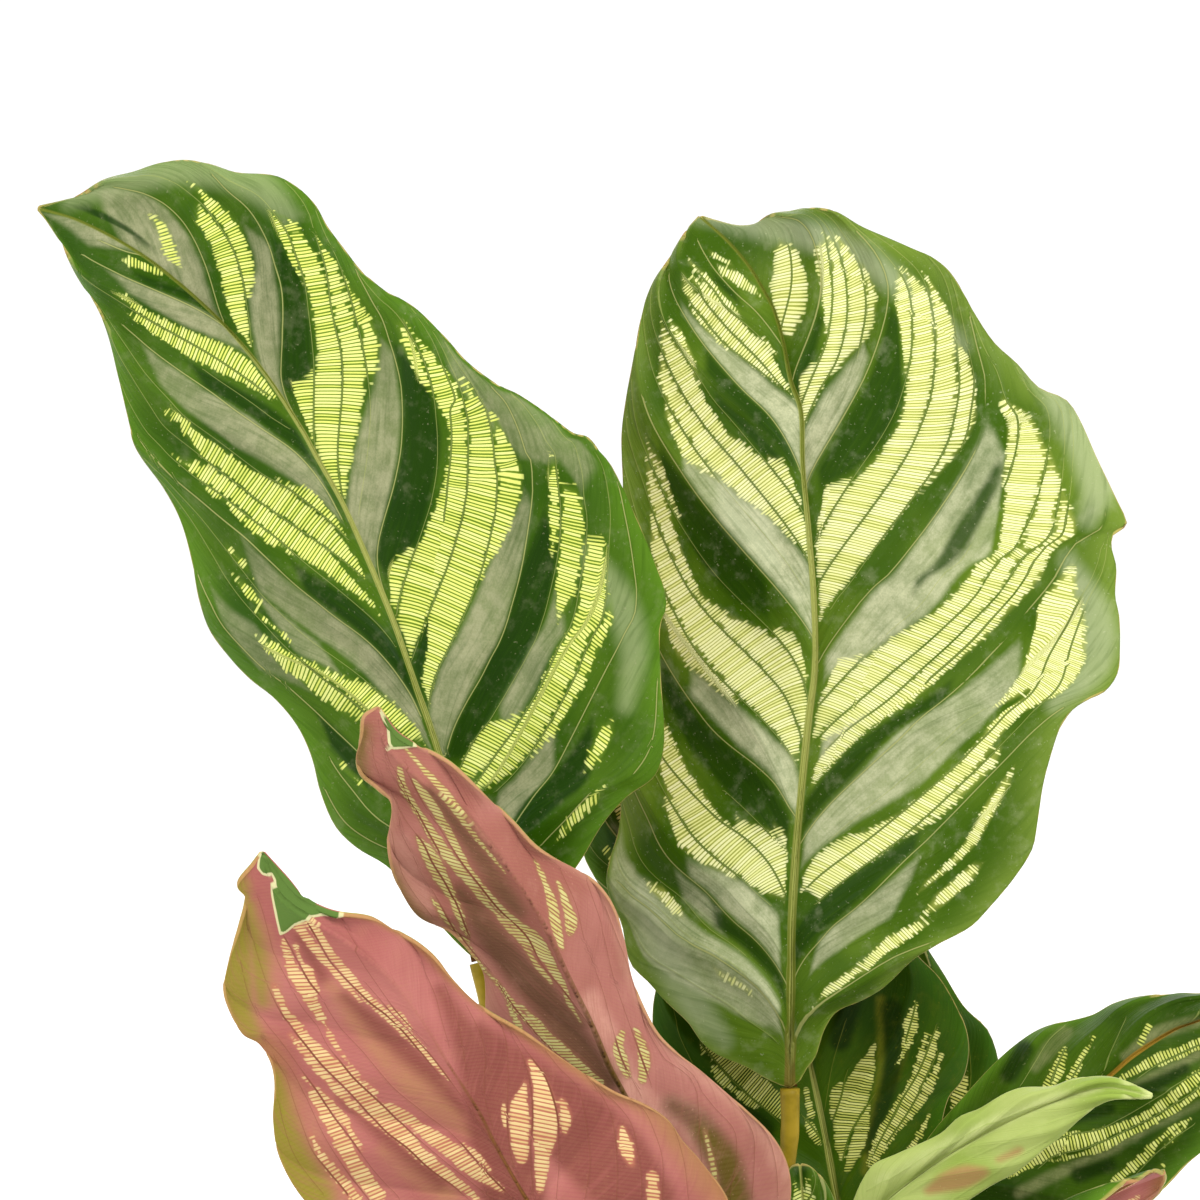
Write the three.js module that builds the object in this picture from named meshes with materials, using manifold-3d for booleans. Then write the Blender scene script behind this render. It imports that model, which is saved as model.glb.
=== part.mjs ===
// A potted peacock plant (Calathea makoyana): pleated, wave-edged leaves on slender stalks, in a clay pot.
// Millimetres, +Z up. The origin is the middle of the pot's underside, and -Y is the plant's front.

import * as THREE from 'three';
import { mergeVertices } from 'three/addons/utils/BufferGeometryUtils.js';
import Module from 'manifold-3d';

const wasm = await Module();
wasm.setup();

// Clearance between neighbouring pieces
const GAP = 0.3;

// Pot: a tapered clay wall with a band round the top and drain holes round the middle of the floor
const POT_HEIGHT = 112;
const POT_FOOT_RADIUS = 43;
const POT_NECK_RADIUS = 57;
const POT_RIM_FOOT_RADIUS = 62;
const POT_RIM_RADIUS = 65;
const POT_RIM_HEIGHT = 24;
const POT_WALL = 5;
const POT_FLOOR = 7;
const POT_EDGE = 1.5;
const DRAIN_HOLES = 4;
const DRAIN_HOLE_RADIUS = 4.5;
const DRAIN_CIRCLE_RADIUS = 24;
const ROUND_SIDES = 40;

// Soil: fills the pot to below the rim and is a little higher in the middle
const SOIL_EDGE_HEIGHT = 96;
const SOIL_CROWN = 4;
const STALK_DEPTH = 14;

// Stalks: clasping foot, slim middle, and the thicker joint just under the blade
const STALK_FOOT_RADIUS = 2.4;
const STALK_RADIUS = 1.5;
const STALK_JOINT_RADIUS = 1.9;
const STALK_SIDES = 6;
const STALK_STEPS = 12;

// Blades: the keel is the rib standing proud of the underside
const BLADE_THICKNESS = 0.8;
const KEEL_HEIGHT = 0.9;
const HALF_CROWN = 1.8;
const VEIN_SWAY = 0.6;

// The big leaves are drawn in a front view: a picture 1200 pixels wide, seen from a little above.
// The tall right blade stands 165 mm high and measures 872 pixels from foot to tip in it.
const TALL_BLADE_HEIGHT = 165;
const TALL_BLADE_PIXELS = 872;
const MM_PER_PIXEL = TALL_BLADE_HEIGHT / TALL_BLADE_PIXELS;
const VIEW_CENTRE_PIXEL = 600;
const POT_AXIS_PIXEL = 690;
const VIEW_CENTRE_HEIGHT = 307;
const VIEW_DISTANCE = 1250;
const VIEW_ELEVATION = THREE.MathUtils.degToRad(6);

// A point of the front view at a distance behind the pot's axis, as a point of the plant
function fromView([across, down], depth) {
  const centre = new THREE.Vector3((VIEW_CENTRE_PIXEL - POT_AXIS_PIXEL) * MM_PER_PIXEL, 0, VIEW_CENTRE_HEIGHT);
  const forward = new THREE.Vector3(0, Math.cos(VIEW_ELEVATION), -Math.sin(VIEW_ELEVATION));
  const up = new THREE.Vector3(0, Math.sin(VIEW_ELEVATION), Math.cos(VIEW_ELEVATION));
  const eye = centre.clone().addScaledVector(forward, -VIEW_DISTANCE);
  const ray = centre.clone().sub(eye);
  ray.x += (across - VIEW_CENTRE_PIXEL) * MM_PER_PIXEL;
  ray.addScaledVector(up, (VIEW_CENTRE_PIXEL - down) * MM_PER_PIXEL);
  return eye.addScaledVector(ray, (depth - eye.y) / ray.y);
}

const mix = (a, b, t) => a + (b - a) * t;
const mixPoints = (a, b, t) => a.map((value, axis) => mix(value, b[axis], t));
const distance = (a, b) => Math.hypot(...a.map((value, axis) => value - b[axis]));

// A smooth curve through points, each reached at its own knot between 0 and 1
function curveThrough(knots, points) {
  const last = points.length - 1;
  const slopes = points.map((point, i) => {
    const before = Math.max(i - 1, 0);
    const after = Math.min(i + 1, last);
    const span = knots[after] - knots[before];
    return point.map((_, axis) => (points[after][axis] - points[before][axis]) / span);
  });
  return (fraction) => {
    let i = 0;
    while (i < last - 1 && knots[i + 1] < fraction) i += 1;
    const span = knots[i + 1] - knots[i];
    const t = THREE.MathUtils.clamp((fraction - knots[i]) / span, 0, 1);
    const rise = t * t * (3 - 2 * t);
    return points[i].map((value, axis) => (
      mix(value, points[i + 1][axis], rise)
      + t * (1 - t) * span * ((1 - t) * slopes[i][axis] - t * slopes[i + 1][axis])));
  };
}

// A smooth curve through points by the fraction of the way along it
function pathThrough(points) {
  const lengths = [0];
  for (let i = 1; i < points.length; i += 1) lengths.push(lengths[i - 1] + distance(points[i], points[i - 1]));
  return curveThrough(lengths.map((length) => length / lengths[lengths.length - 1]), points);
}

// A smooth run of values spread evenly from 0 to 1
function evenly(values) {
  const curve = curveThrough(values.map((_, i) => i / (values.length - 1)), values.map((value) => [value]));
  return (fraction) => curve(fraction)[0];
}

// A point of a vein: it leaves the rib and reaches the margin slantwise, further towards the tip
function veinPoint(rib, margin, ribFraction, marginFraction, t) {
  const along = mix(ribFraction, marginFraction, t);
  return mixPoints(rib(along), margin(along), outwardShare(t));
}

// How far out from the rib a vein has come: slower at both ends, so that it bends like a stretched S
function outwardShare(t) {
  return mix(t, t * t * (3 - 2 * t), VEIN_SWAY);
}

// Where the vein at a place between two creases starts on the rib and ends on the margin
function veinEnds(creases, place) {
  const i = Math.min(Math.floor(place), creases.length - 2);
  return mixPoints(creases[i], creases[i + 1], place - i);
}

// How far a pleat stands up: sharp at each crease, shallow between, nothing at the rib and at both ends
function pleatRise(creaseCount, place, t) {
  const sideways = Math.abs(place - Math.round(place));
  const ridge = (1 - 2 * sideways) ** 1.5 - 0.4;
  const outwards = Math.min(1, t / 0.35) * (1 - 0.25 * t);
  const endwards = Math.min(1, place, creaseCount - place);
  return ridge * outwards * endwards;
}

// A point of a blade's middle surface, on the left (0) or right (1) of the rib
function bladePoint(leaf, side, place, t) {
  const creases = leaf.creases[side];
  const [ribFraction, marginFraction] = veinEnds(creases, place);
  const flat = veinPoint(leaf.rib, leaf.margins[side], ribFraction, marginFraction, t);
  const along = mix(ribFraction, marginFraction, t);
  const rise = leaf.ribRise(along) + leaf.marginRise[side](along) * outwardShare(t) ** 1.3;
  const lastPlace = creases.length - 1;
  const crown = HALF_CROWN * 4 * t * (1 - t) * Math.min(1, place, lastPlace - place);
  const relief = crown + leaf.pleat * pleatRise(lastPlace, place, t);
  return leaf.put(flat, rise + (leaf.underside ? -relief : relief));
}

// A closed solid from points and triangles, turned so that its faces look outwards
function solid(points, triangles) {
  let volume = 0;
  for (const [a, b, c] of triangles) {
    volume += points[a].dot(new THREE.Vector3().crossVectors(points[b], points[c]));
  }
  const outward = volume > 0 ? triangles : triangles.map(([a, b, c]) => [a, c, b]);
  const geometry = new THREE.BufferGeometry().setFromPoints(points);
  geometry.setIndex(outward.flat());
  return geometry;
}

// Whether the triangle on the outline's first edge runs along it the same way as the outline
function follows([a, b], triangles) {
  return triangles.some((corners) => corners.some((corner, i) => corner === a && corners[(i + 1) % 3] === b));
}

// A blade: the same triangles on both faces, and a wall round the edge between them
function bladeGeometry(leaf) {
  const points = [];
  const triangles = [];
  const addPoint = (point) => points.push(point) - 1;
  const addTriangle = (a, b, c) => {
    if (a !== b && b !== c && c !== a) triangles.push([a, b, c]);
  };
  const steps = leaf.segments;
  const acrossList = leaf.across;

  const places = leaf.creases.map((creases) => {
    const count = (creases.length - 1) * steps;
    return Array.from({ length: count + 1 }, (_, i) => i / steps);
  });
  const ribFractions = places.map((list, side) => list.map((place) => veinEnds(leaf.creases[side], place)[0]));
  const ribStops = [...new Set(ribFractions.flat().map((value) => value.toFixed(5)))].map(Number);
  ribStops.sort((a, b) => a - b);
  const ribPoints = ribStops.map((fraction) => addPoint(leaf.put(leaf.rib(fraction), leaf.ribRise(fraction))));
  const base = ribPoints[0];
  const tip = ribPoints[ribPoints.length - 1];

  const edges = places.map((list, side) => {
    const turn = (a, b, c) => (side === 0 ? addTriangle(a, b, c) : addTriangle(a, c, b));
    const stops = ribFractions[side].map((fraction) => ribStops.indexOf(Number(fraction.toFixed(5))));
    const rows = list.map((place, i) => {
      if (i === 0) return acrossList.slice(1).map(() => base);
      if (i === list.length - 1) return acrossList.slice(1).map(() => tip);
      return acrossList.slice(1).map((t) => addPoint(bladePoint(leaf, side, place, t)));
    });
    for (let i = 0; i < list.length - 1; i += 1) {
      const middle = Math.floor((stops[i] + stops[i + 1]) / 2);
      for (let stop = stops[i]; stop < middle; stop += 1) turn(ribPoints[stop], ribPoints[stop + 1], rows[i][0]);
      turn(rows[i][0], ribPoints[middle], rows[i + 1][0]);
      for (let stop = middle; stop < stops[i + 1]; stop += 1) {
        turn(ribPoints[stop], ribPoints[stop + 1], rows[i + 1][0]);
      }
      for (let j = 0; j < rows[i].length - 1; j += 1) {
        turn(rows[i][j], rows[i + 1][j], rows[i][j + 1]);
        turn(rows[i + 1][j], rows[i + 1][j + 1], rows[i][j + 1]);
      }
    }
    return rows.map((row) => row[row.length - 1]);
  });
  const outline = [...edges[0], ...edges[1].slice(1, -1).reverse()];

  const skin = new THREE.BufferGeometry().setFromPoints(points);
  skin.setIndex(triangles.flat());
  skin.computeVertexNormals();
  const normals = points.map((_, i) => new THREE.Vector3().fromBufferAttribute(skin.attributes.normal, i));
  const keeled = new Set(ribPoints.slice(1, -1));
  const keelOf = (i, under) => (keeled.has(i) && under ? KEEL_HEIGHT : 0);
  const fronts = points.map((point, i) => (
    point.clone().addScaledVector(normals[i], BLADE_THICKNESS / 2 + keelOf(i, leaf.underside))));
  const backs = points.map((point, i) => (
    point.clone().addScaledVector(normals[i], -BLADE_THICKNESS / 2 - keelOf(i, !leaf.underside))));
  const count = points.length;
  const walls = outline.flatMap((a, i) => {
    const b = outline[(i + 1) % outline.length];
    return [[b, a, a + count], [b, a + count, b + count]];
  });
  const underneath = triangles.map(([a, b, c]) => [a + count, c + count, b + count]);
  const wallTurned = follows(outline, triangles) ? walls : walls.map(([a, b, c]) => [a, c, b]);
  return solid([...fronts, ...backs], [...triangles, ...underneath, ...wallTurned]);
}

// A round stalk along a curve, its radius changing along the way
function stalkGeometry(route, radii) {
  const curve = new THREE.CatmullRomCurve3(route, false, 'centripetal');
  const frames = curve.computeFrenetFrames(STALK_STEPS);
  const points = [];
  for (let i = 0; i <= STALK_STEPS; i += 1) {
    const along = i / STALK_STEPS;
    for (let j = 0; j < STALK_SIDES; j += 1) {
      const angle = (2 * Math.PI * j) / STALK_SIDES;
      points.push(curve.getPointAt(along)
        .addScaledVector(frames.normals[i], Math.cos(angle) * radii(along))
        .addScaledVector(frames.binormals[i], Math.sin(angle) * radii(along)));
    }
  }
  const triangles = [];
  for (let i = 0; i < STALK_STEPS; i += 1) {
    for (let j = 0; j < STALK_SIDES; j += 1) {
      const a = i * STALK_SIDES + j;
      const b = i * STALK_SIDES + ((j + 1) % STALK_SIDES);
      triangles.push([a, b, a + STALK_SIDES], [b, b + STALK_SIDES, a + STALK_SIDES]);
    }
  }
  const top = STALK_STEPS * STALK_SIDES;
  for (let j = 1; j < STALK_SIDES - 1; j += 1) triangles.push([0, j + 1, j], [top, top + j, top + j + 1]);
  return solid(points, triangles);
}

const stalkRadii = evenly([
  STALK_FOOT_RADIUS, STALK_FOOT_RADIUS, 2, STALK_RADIUS, STALK_RADIUS, STALK_RADIUS, STALK_JOINT_RADIUS,
]);

// Creases of a blade without its own list: closer on the rib towards the foot, on the margin towards the tip
function evenCreases(count, sweep = 1.9) {
  return Array.from({ length: count + 1 }, (_, i) => [(i / count) ** sweep, 1 - (1 - i / count) ** sweep]);
}

// A leaf drawn in the front view. Depths are mm behind the pot's axis along the rib, and behind the rib
// along each margin, spread evenly from foot to tip
function viewLeaf({ rib, left, right, depth, leftDepth, rightDepth, leftCreases, rightCreases, ...rest }) {
  const forwards = (depths) => evenly(depths.map((value) => -value));
  return {
    rib: pathThrough(rib),
    margins: [pathThrough(left), pathThrough(right)],
    ribRise: forwards(depth),
    marginRise: [forwards(leftDepth), forwards(rightDepth)],
    creases: [leftCreases, rightCreases],
    put: (flat, rise) => fromView(flat, -rise),
    ...rest,
  };
}

// A leaf that arches out from its foot and droops. Its outline is drawn flat in mm, foot at the bottom,
// and bent along an arc that starts and ends at the given slopes
function archLeaf({ foot, azimuth, length, width, startTilt, endTilt, roll = 0, droop, pleats = 5, ...rest }) {
  const creases = evenCreases(pleats);
  const edge = [];
  for (let i = 0; i < pleats; i += 1) {
    for (const part of [0, 1 / 3, 2 / 3]) {
      const fraction = mix(creases[i][1], creases[i + 1][1], part);
      const angle = Math.PI * fraction;
      const wave = 1 + 0.07 * Math.sin(Math.PI * part);
      const across = (width / 2) * Math.sin(angle) ** 0.9 * (1 + 0.26 * Math.cos(angle)) * wave;
      edge.push([across, (length * (1 - Math.cos(angle))) / 2]);
    }
  }
  edge.push([0, length]);
  const start = THREE.MathUtils.degToRad(startTilt);
  const bend = THREE.MathUtils.degToRad(startTilt - endTilt) / length;
  const turn = THREE.MathUtils.degToRad(azimuth);
  const outward = new THREE.Vector3(Math.cos(turn), Math.sin(turn), 0);
  const upward = new THREE.Vector3(0, 0, 1);
  const put = ([across, along], rise) => {
    const tilt = start - bend * along;
    const tangent = outward.clone().multiplyScalar(Math.cos(tilt)).addScaledVector(upward, Math.sin(tilt));
    const side = new THREE.Vector3().crossVectors(outward, upward);
    side.applyAxisAngle(tangent, THREE.MathUtils.degToRad(roll));
    const normal = new THREE.Vector3().crossVectors(side, tangent);
    return new THREE.Vector3(...foot)
      .addScaledVector(outward, (Math.sin(start) - Math.sin(tilt)) / bend)
      .addScaledVector(upward, (Math.cos(tilt) - Math.cos(start)) / bend)
      .addScaledVector(side, across)
      .addScaledVector(normal, rise);
  };
  return {
    rib: (fraction) => [0, length * fraction],
    margins: [pathThrough(edge.map(([across, along]) => [-across, along])), pathThrough(edge)],
    ribRise: () => 0,
    marginRise: [evenly(droop), evenly(droop)],
    creases: [creases, creases],
    put,
    ...rest,
  };
}

const COARSE = { segments: 2, across: [0, 0.1, 0.35, 0.68, 1] };
const FINE = { segments: 3, across: [0, 0.06, 0.22, 0.42, 0.62, 0.82, 1] };

// Every leaf: its blade, where its stalk enters the soil, and the points the stalk passes on its way up
const LEAVES = {
  tall_left: viewLeaf({
    rib: [
    [479, 962], [462, 880], [450, 810], [439, 753], [413, 678], [392, 617], [365, 552], [342, 502],
    [317, 457], [303, 431], [269, 379], [230, 331], [186, 289], [138, 252], [80, 221], [38, 208],
    ],
    left: [
    [479, 962], [452, 936], [420, 900], [388, 866], [357, 847], [336, 826], [321, 791], [313, 759],
    [298, 726], [275, 698], [251, 679], [232, 659], [211, 631], [200, 600], [194, 569], [182, 523],
    [165, 489], [137, 449], [129, 423], [119, 377], [110, 339], [100, 312], [77, 274], [62, 243],
    [48, 220], [38, 208],
    ],
    right: [
    [479, 962], [505, 950], [540, 915], [579, 863], [603, 823], [627, 796], [655, 775], [664, 740],
    [661, 680], [660, 627], [666, 608], [664, 587], [656, 566], [641, 529], [622, 487], [610, 464],
    [599, 451], [587, 437], [574, 434], [550, 416], [518, 395], [499, 386], [467, 362], [444, 336],
    [417, 310], [400, 299], [387, 293], [362, 272], [344, 249], [327, 226], [314, 203], [295, 186],
    [274, 176], [236, 173], [211, 165], [186, 160], [160, 163], [136, 172], [104, 181], [76, 198],
    [38, 208],
    ],
    depth: [-2, 1, 5, 10, 17, 26, 38],
    leftDepth: [0, 6, 10, 11, 9, 4, 0],
    rightDepth: [0, -5, -11, -13, -9, -4, 0],
    leftCreases: [[0, 0], [0.03, 0.3], [0.13, 0.55], [0.29, 0.725], [0.5, 0.86], [0.75, 0.94], [1, 1]],
    rightCreases: [
      [0, 0], [0.03, 0.24], [0.1, 0.47], [0.22, 0.565], [0.41, 0.7], [0.63, 0.865], [0.74, 0.96], [1, 1],
    ],
    pleat: 2.2,
    soilSpot: [-17, 3],
    stalkVia: [[-20, 3, 130], [-35, 0, 185]],
    ...FINE,
  }),
  tall_right: viewLeaf({
    rib: [
    [790, 1088], [791, 999], [792, 920], [797, 840], [802, 784], [809, 717], [815, 668], [814, 601],
    [809, 534], [803, 467], [801, 411], [791, 381], [783, 341], [774, 310], [765, 293], [750, 268],
    [729, 243], [700, 217],
    ],
    left: [
    [790, 1088], [765, 1077], [746, 1066], [717, 1054], [702, 1042], [689, 1023], [666, 1001], [649, 982],
    [631, 963], [622, 923], [611, 899], [607, 881], [610, 860], [619, 830], [622, 790], [622, 700],
    [621, 600], [623, 487], [622, 457], [622, 434], [627, 397], [635, 354], [641, 318], [653, 284],
    [669, 260], [686, 233], [700, 217],
    ],
    right: [
    [790, 1088], [799, 1080], [806, 1068], [815, 1056], [824, 1029], [837, 1010], [862, 999], [883, 987],
    [914, 958], [936, 945], [970, 927], [988, 909], [1014, 878], [1032, 849], [1037, 824], [1043, 784],
    [1052, 750], [1059, 730], [1072, 710], [1088, 699], [1106, 690], [1118, 672], [1120, 645], [1119, 616],
    [1115, 596], [1116, 567], [1111, 545], [1115, 532], [1127, 525], [1115, 496], [1097, 458], [1079, 418],
    [1066, 400], [1039, 388], [1017, 364], [994, 343], [972, 310], [961, 289], [948, 270], [932, 257],
    [918, 251], [889, 239], [861, 227], [835, 212], [812, 208], [791, 212], [772, 215], [755, 225],
    [738, 227], [716, 222], [700, 217],
    ],
    depth: [16, 17, 20, 26, 35, 48, 64],
    leftDepth: [0, 6, 10, 11, 8, 4, 0],
    rightDepth: [0, -6, -11, -12, -9, -4, 0],
    leftCreases: [
      [0, 0], [0.035, 0.31], [0.11, 0.44], [0.28, 0.68], [0.47, 0.85], [0.67, 0.94], [0.82, 0.975], [1, 1],
    ],
    rightCreases: [
      [0, 0], [0.03, 0.16], [0.135, 0.365], [0.27, 0.535], [0.45, 0.775], [0.66, 0.895], [0.78, 0.945], [1, 1],
    ],
    pleat: 2.2,
    soilSpot: [6, 9],
    stalkVia: [[9, 11, 130], [17, 15, 180]],
    ...FINE,
  }),
  middle: viewLeaf({
    rib: [
    [725, 1290], [680, 1200], [648, 1140], [624, 1093], [610, 1068], [591, 1024], [568, 976], [544, 925],
    [521, 887], [490, 845], [451, 803], [412, 773], [385, 742], [378, 707],
    ],
    left: [
    [725, 1290], [640, 1240], [560, 1160], [505, 1080], [487, 1020], [484, 975], [472, 955], [449, 931],
    [420, 917], [406, 900], [393, 873], [388, 843], [391, 804], [378, 789], [361, 774], [357, 756],
    [361, 735], [364, 716], [378, 707],
    ],
    right: [
    [725, 1290], [770, 1260], [788, 1215], [790, 1175], [775, 1140], [740, 1105], [700, 1070], [677, 1053],
    [658, 1034], [643, 1007], [631, 976], [624, 938], [613, 906], [598, 885], [579, 871], [538, 848],
    [512, 821], [483, 793], [454, 766], [437, 755], [420, 747], [396, 732], [378, 707],
    ],
    depth: [-14, -17, -21, -25, -30, -36, -42],
    leftDepth: [0, 4, 8, 9, 7, 3, 0],
    rightDepth: [0, 4, 8, 9, 7, 3, 0],
    leftCreases: [[0, 0], [0.05, 0.3], [0.2, 0.5], [0.36, 0.66], [0.52, 0.8], [0.72, 0.92], [1, 1]],
    rightCreases: [[0, 0], [0.05, 0.3], [0.22, 0.5], [0.4, 0.66], [0.58, 0.8], [0.76, 0.92], [1, 1]],
    pleat: 1.8,
    underside: true,
    soilSpot: [2, -9],
    stalkVia: [[5, -11, 130], [11, -13, 158]],
    ...FINE,
  }),
  low_front: viewLeaf({
    rib: [
    [600, 1330], [565, 1260], [522, 1191], [496, 1145], [476, 1107], [448, 1063], [417, 1014], [389, 978],
    [352, 946], [312, 920], [278, 893], [262, 852],
    ],
    left: [
    [600, 1330], [520, 1320], [430, 1290], [355, 1250], [304, 1200], [280, 1158], [273, 1118], [275, 1084],
    [271, 1062], [259, 1043], [243, 1034], [232, 1016], [224, 990], [229, 959], [240, 924], [246, 896],
    [237, 885], [253, 864], [262, 852],
    ],
    right: [
    [600, 1330], [690, 1300], [735, 1240], [728, 1200], [700, 1160], [683, 1141], [668, 1120], [645, 1105],
    [616, 1093], [591, 1078], [563, 1059], [524, 1032], [484, 1009], [456, 983], [434, 957], [417, 943],
    [396, 931], [372, 918], [337, 913], [317, 906], [303, 897], [286, 878], [262, 852],
    ],
    depth: [-34, -40, -46, -53, -60, -67, -75],
    leftDepth: [0, 5, 9, 10, 8, 4, 0],
    rightDepth: [0, 4, 9, 10, 8, 4, 0],
    leftCreases: [[0, 0], [0.05, 0.35], [0.2, 0.55], [0.35, 0.68], [0.52, 0.8], [0.7, 0.92], [1, 1]],
    rightCreases: [[0, 0], [0.05, 0.3], [0.22, 0.5], [0.4, 0.66], [0.58, 0.8], [0.76, 0.92], [1, 1]],
    pleat: 1.8,
    underside: true,
    soilSpot: [-9, -17],
    stalkVia: [[-9, -21, 125], [-12, -30, 150]],
    ...FINE,
  }),
  lower: viewLeaf({
    rib: [[850, 1260], [837, 1200], [824, 1130], [811, 1068], [796, 1000], [780, 930], [762, 865]],
    left: [
      [850, 1260], [800, 1268], [740, 1245], [690, 1190], [663, 1120], [655, 1062], [653, 1026], [655, 997],
      [668, 950], [690, 915], [720, 885], [762, 865],
    ],
    right: [
      [850, 1260], [900, 1250], [930, 1210], [938, 1170], [940, 1133], [948, 1098], [962, 1079], [968, 1054],
      [966, 1031], [956, 1006], [939, 978], [918, 957], [895, 925], [860, 900], [820, 880], [762, 865],
    ],
    depth: [26, 28, 30, 32, 34, 36, 38],
    leftDepth: [0, 1, 0, -1, 0, 1, 0],
    rightDepth: [0, 3, 5, 5, 4, 2, 0],
    leftCreases: evenCreases(6),
    rightCreases: evenCreases(6),
    pleat: 1.8,
    soilSpot: [15, 17],
    stalkVia: [[19, 20, 130], [30, 25, 160]],
    ...COARSE,
  }),
  right: viewLeaf({
    rib: [
      [905, 1235], [960, 1185], [1010, 1145], [1060, 1110], [1107, 1078], [1133, 1056], [1174, 1030],
      [1200, 1020], [1250, 1000], [1300, 985],
    ],
    left: [
      [905, 1235], [905, 1190], [925, 1145], [960, 1102], [998, 1061], [1026, 1038], [1047, 1027],
      [1092, 1016], [1113, 1005], [1133, 999], [1156, 996], [1178, 994], [1200, 995], [1250, 988], [1300, 985],
    ],
    right: [
      [905, 1235], [950, 1262], [1010, 1272], [1060, 1262], [1110, 1235], [1150, 1202], [1171, 1181],
      [1187, 1164], [1200, 1153], [1240, 1110], [1275, 1055], [1300, 985],
    ],
    depth: [12, 6, 2, 0, -4, -8, -12],
    leftDepth: [0, 6, 10, 11, 9, 4, 0],
    rightDepth: [0, -6, -10, -12, -10, -5, 0],
    leftCreases: evenCreases(6),
    rightCreases: evenCreases(6),
    pleat: 1.8,
    soilSpot: [22, 5],
    stalkVia: [[25, 8, 135], [32, 11, 168]],
    ...COARSE,
  }),
  young: viewLeaf({
    rib: [[850, 1235], [900, 1190], [960, 1148], [1030, 1112], [1100, 1088], [1153, 1096]],
    left: [
      [850, 1235], [853, 1205], [872, 1167], [895, 1156], [941, 1135], [960, 1118], [980, 1110],
      [1003, 1096], [1021, 1089], [1052, 1088], [1072, 1081], [1095, 1078], [1113, 1079], [1133, 1086],
      [1153, 1096],
    ],
    right: [
      [850, 1235], [900, 1232], [945, 1214], [991, 1185], [1018, 1170], [1041, 1151], [1058, 1138],
      [1079, 1118], [1098, 1104], [1113, 1098], [1142, 1097], [1153, 1096],
    ],
    depth: [-8, -12, -18, -24, -30, -36],
    leftDepth: [0, 2, 3, 3, 1, 0],
    rightDepth: [0, -2, -3, -3, -1, 0],
    leftCreases: evenCreases(5),
    rightCreases: evenCreases(5),
    pleat: 0.8,
    soilSpot: [14, -8],
    stalkVia: [[17, -9, 130], [24, -8, 165]],
    ...COARSE,
  }),
  behind: viewLeaf({
    rib: [[690, 985], [676, 900], [662, 800], [650, 700], [640, 610]],
    left: [
      [690, 985], [655, 960], [625, 925], [600, 885], [583, 850], [585, 790], [598, 720], [615, 660],
      [640, 610],
    ],
    right: [[690, 985], [720, 950], [735, 880], [735, 800], [715, 720], [685, 660], [640, 610]],
    depth: [42, 44, 46, 48, 50],
    leftDepth: [0, 2, 3, 2, 0],
    rightDepth: [0, 2, 3, 2, 0],
    leftCreases: evenCreases(5),
    rightCreases: evenCreases(5),
    pleat: 1.5,
    soilSpot: [-2, 19],
    stalkVia: [[-2, 23, 130], [1, 38, 195]],
    ...COARSE,
  }),
  hidden: viewLeaf({
    rib: [[880, 1300], [888, 1220], [892, 1140], [888, 1060], [876, 990], [858, 925], [840, 870]],
    left: [
      [880, 1300], [835, 1280], [800, 1220], [785, 1140], [785, 1060], [790, 990], [800, 930], [815, 890],
      [840, 870],
    ],
    right: [
      [880, 1300], [930, 1290], [975, 1240], [1000, 1180], [1005, 1120], [998, 1062], [987, 1030],
      [964, 1007], [943, 974], [928, 951], [905, 915], [875, 885], [840, 870],
    ],
    depth: [47, 49, 51, 52, 54, 56, 58],
    leftDepth: [0, 2, 3, 3, 2, 1, 0],
    rightDepth: [0, 2, 3, 3, 2, 1, 0],
    leftCreases: evenCreases(5),
    rightCreases: evenCreases(5),
    pleat: 1.5,
    soilSpot: [6, 28],
    stalkVia: [[10, 32, 125], [30, 43, 155]],
    ...COARSE,
  }),
  small: viewLeaf({
    rib: [[818, 1400], [812, 1320], [806, 1240], [800, 1165]],
    left: [[818, 1400], [790, 1375], [768, 1320], [766, 1250], [778, 1195], [792, 1168], [800, 1165]],
    right: [
      [818, 1400], [845, 1370], [858, 1310], [852, 1250], [832, 1197], [820, 1177], [808, 1167],
      [800, 1165],
    ],
    depth: [-1, -1, 0, 2],
    leftDepth: [0, 2, 2, 0],
    rightDepth: [0, 2, 2, 0],
    leftCreases: evenCreases(4),
    rightCreases: evenCreases(4),
    pleat: 0.7,
    soilSpot: [12, 0],
    stalkVia: [[13, 0, 120]],
    ...COARSE,
  }),
  near: archLeaf({
    foot: [34, -38, 150],
    azimuth: -40,
    length: 90,
    width: 46,
    startTilt: 65,
    endTilt: 25,
    roll: 0,
    droop: [0, -4, -8, -9, -7, -3, 0],
    pleat: 1.5,
    soilSpot: [21, -19],
    stalkVia: [[23, -22, 125]],
    ...COARSE,
  }),
  left_side: archLeaf({
    foot: [-46, 12, 158],
    azimuth: 176,
    length: 95,
    width: 54,
    startTilt: 30,
    endTilt: -50,
    droop: [0, -3, -6, -7, -6, -3, 0],
    pleat: 1.5,
    soilSpot: [-27, 8],
    stalkVia: [[-31, 9, 135]],
    ...COARSE,
  }),
  left_back: archLeaf({
    foot: [-30, 46, 165],
    azimuth: 128,
    length: 102,
    width: 58,
    startTilt: 32,
    endTilt: -48,
    droop: [0, -3, -6, -7, -6, -3, 0],
    pleat: 1.6,
    soilSpot: [-15, 22],
    stalkVia: [[-18, 27, 130]],
    ...COARSE,
  }),
  back_side: archLeaf({
    foot: [6, 62, 178],
    azimuth: 82,
    length: 108,
    width: 60,
    startTilt: 36,
    endTilt: -46,
    droop: [0, -3, -6, -7, -6, -3, 0],
    pleat: 1.6,
    soilSpot: [-5, 31],
    stalkVia: [[-3, 38, 130]],
    ...COARSE,
  }),
  right_back: archLeaf({
    foot: [52, 42, 160],
    azimuth: 34,
    length: 100,
    width: 56,
    startTilt: 30,
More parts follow.
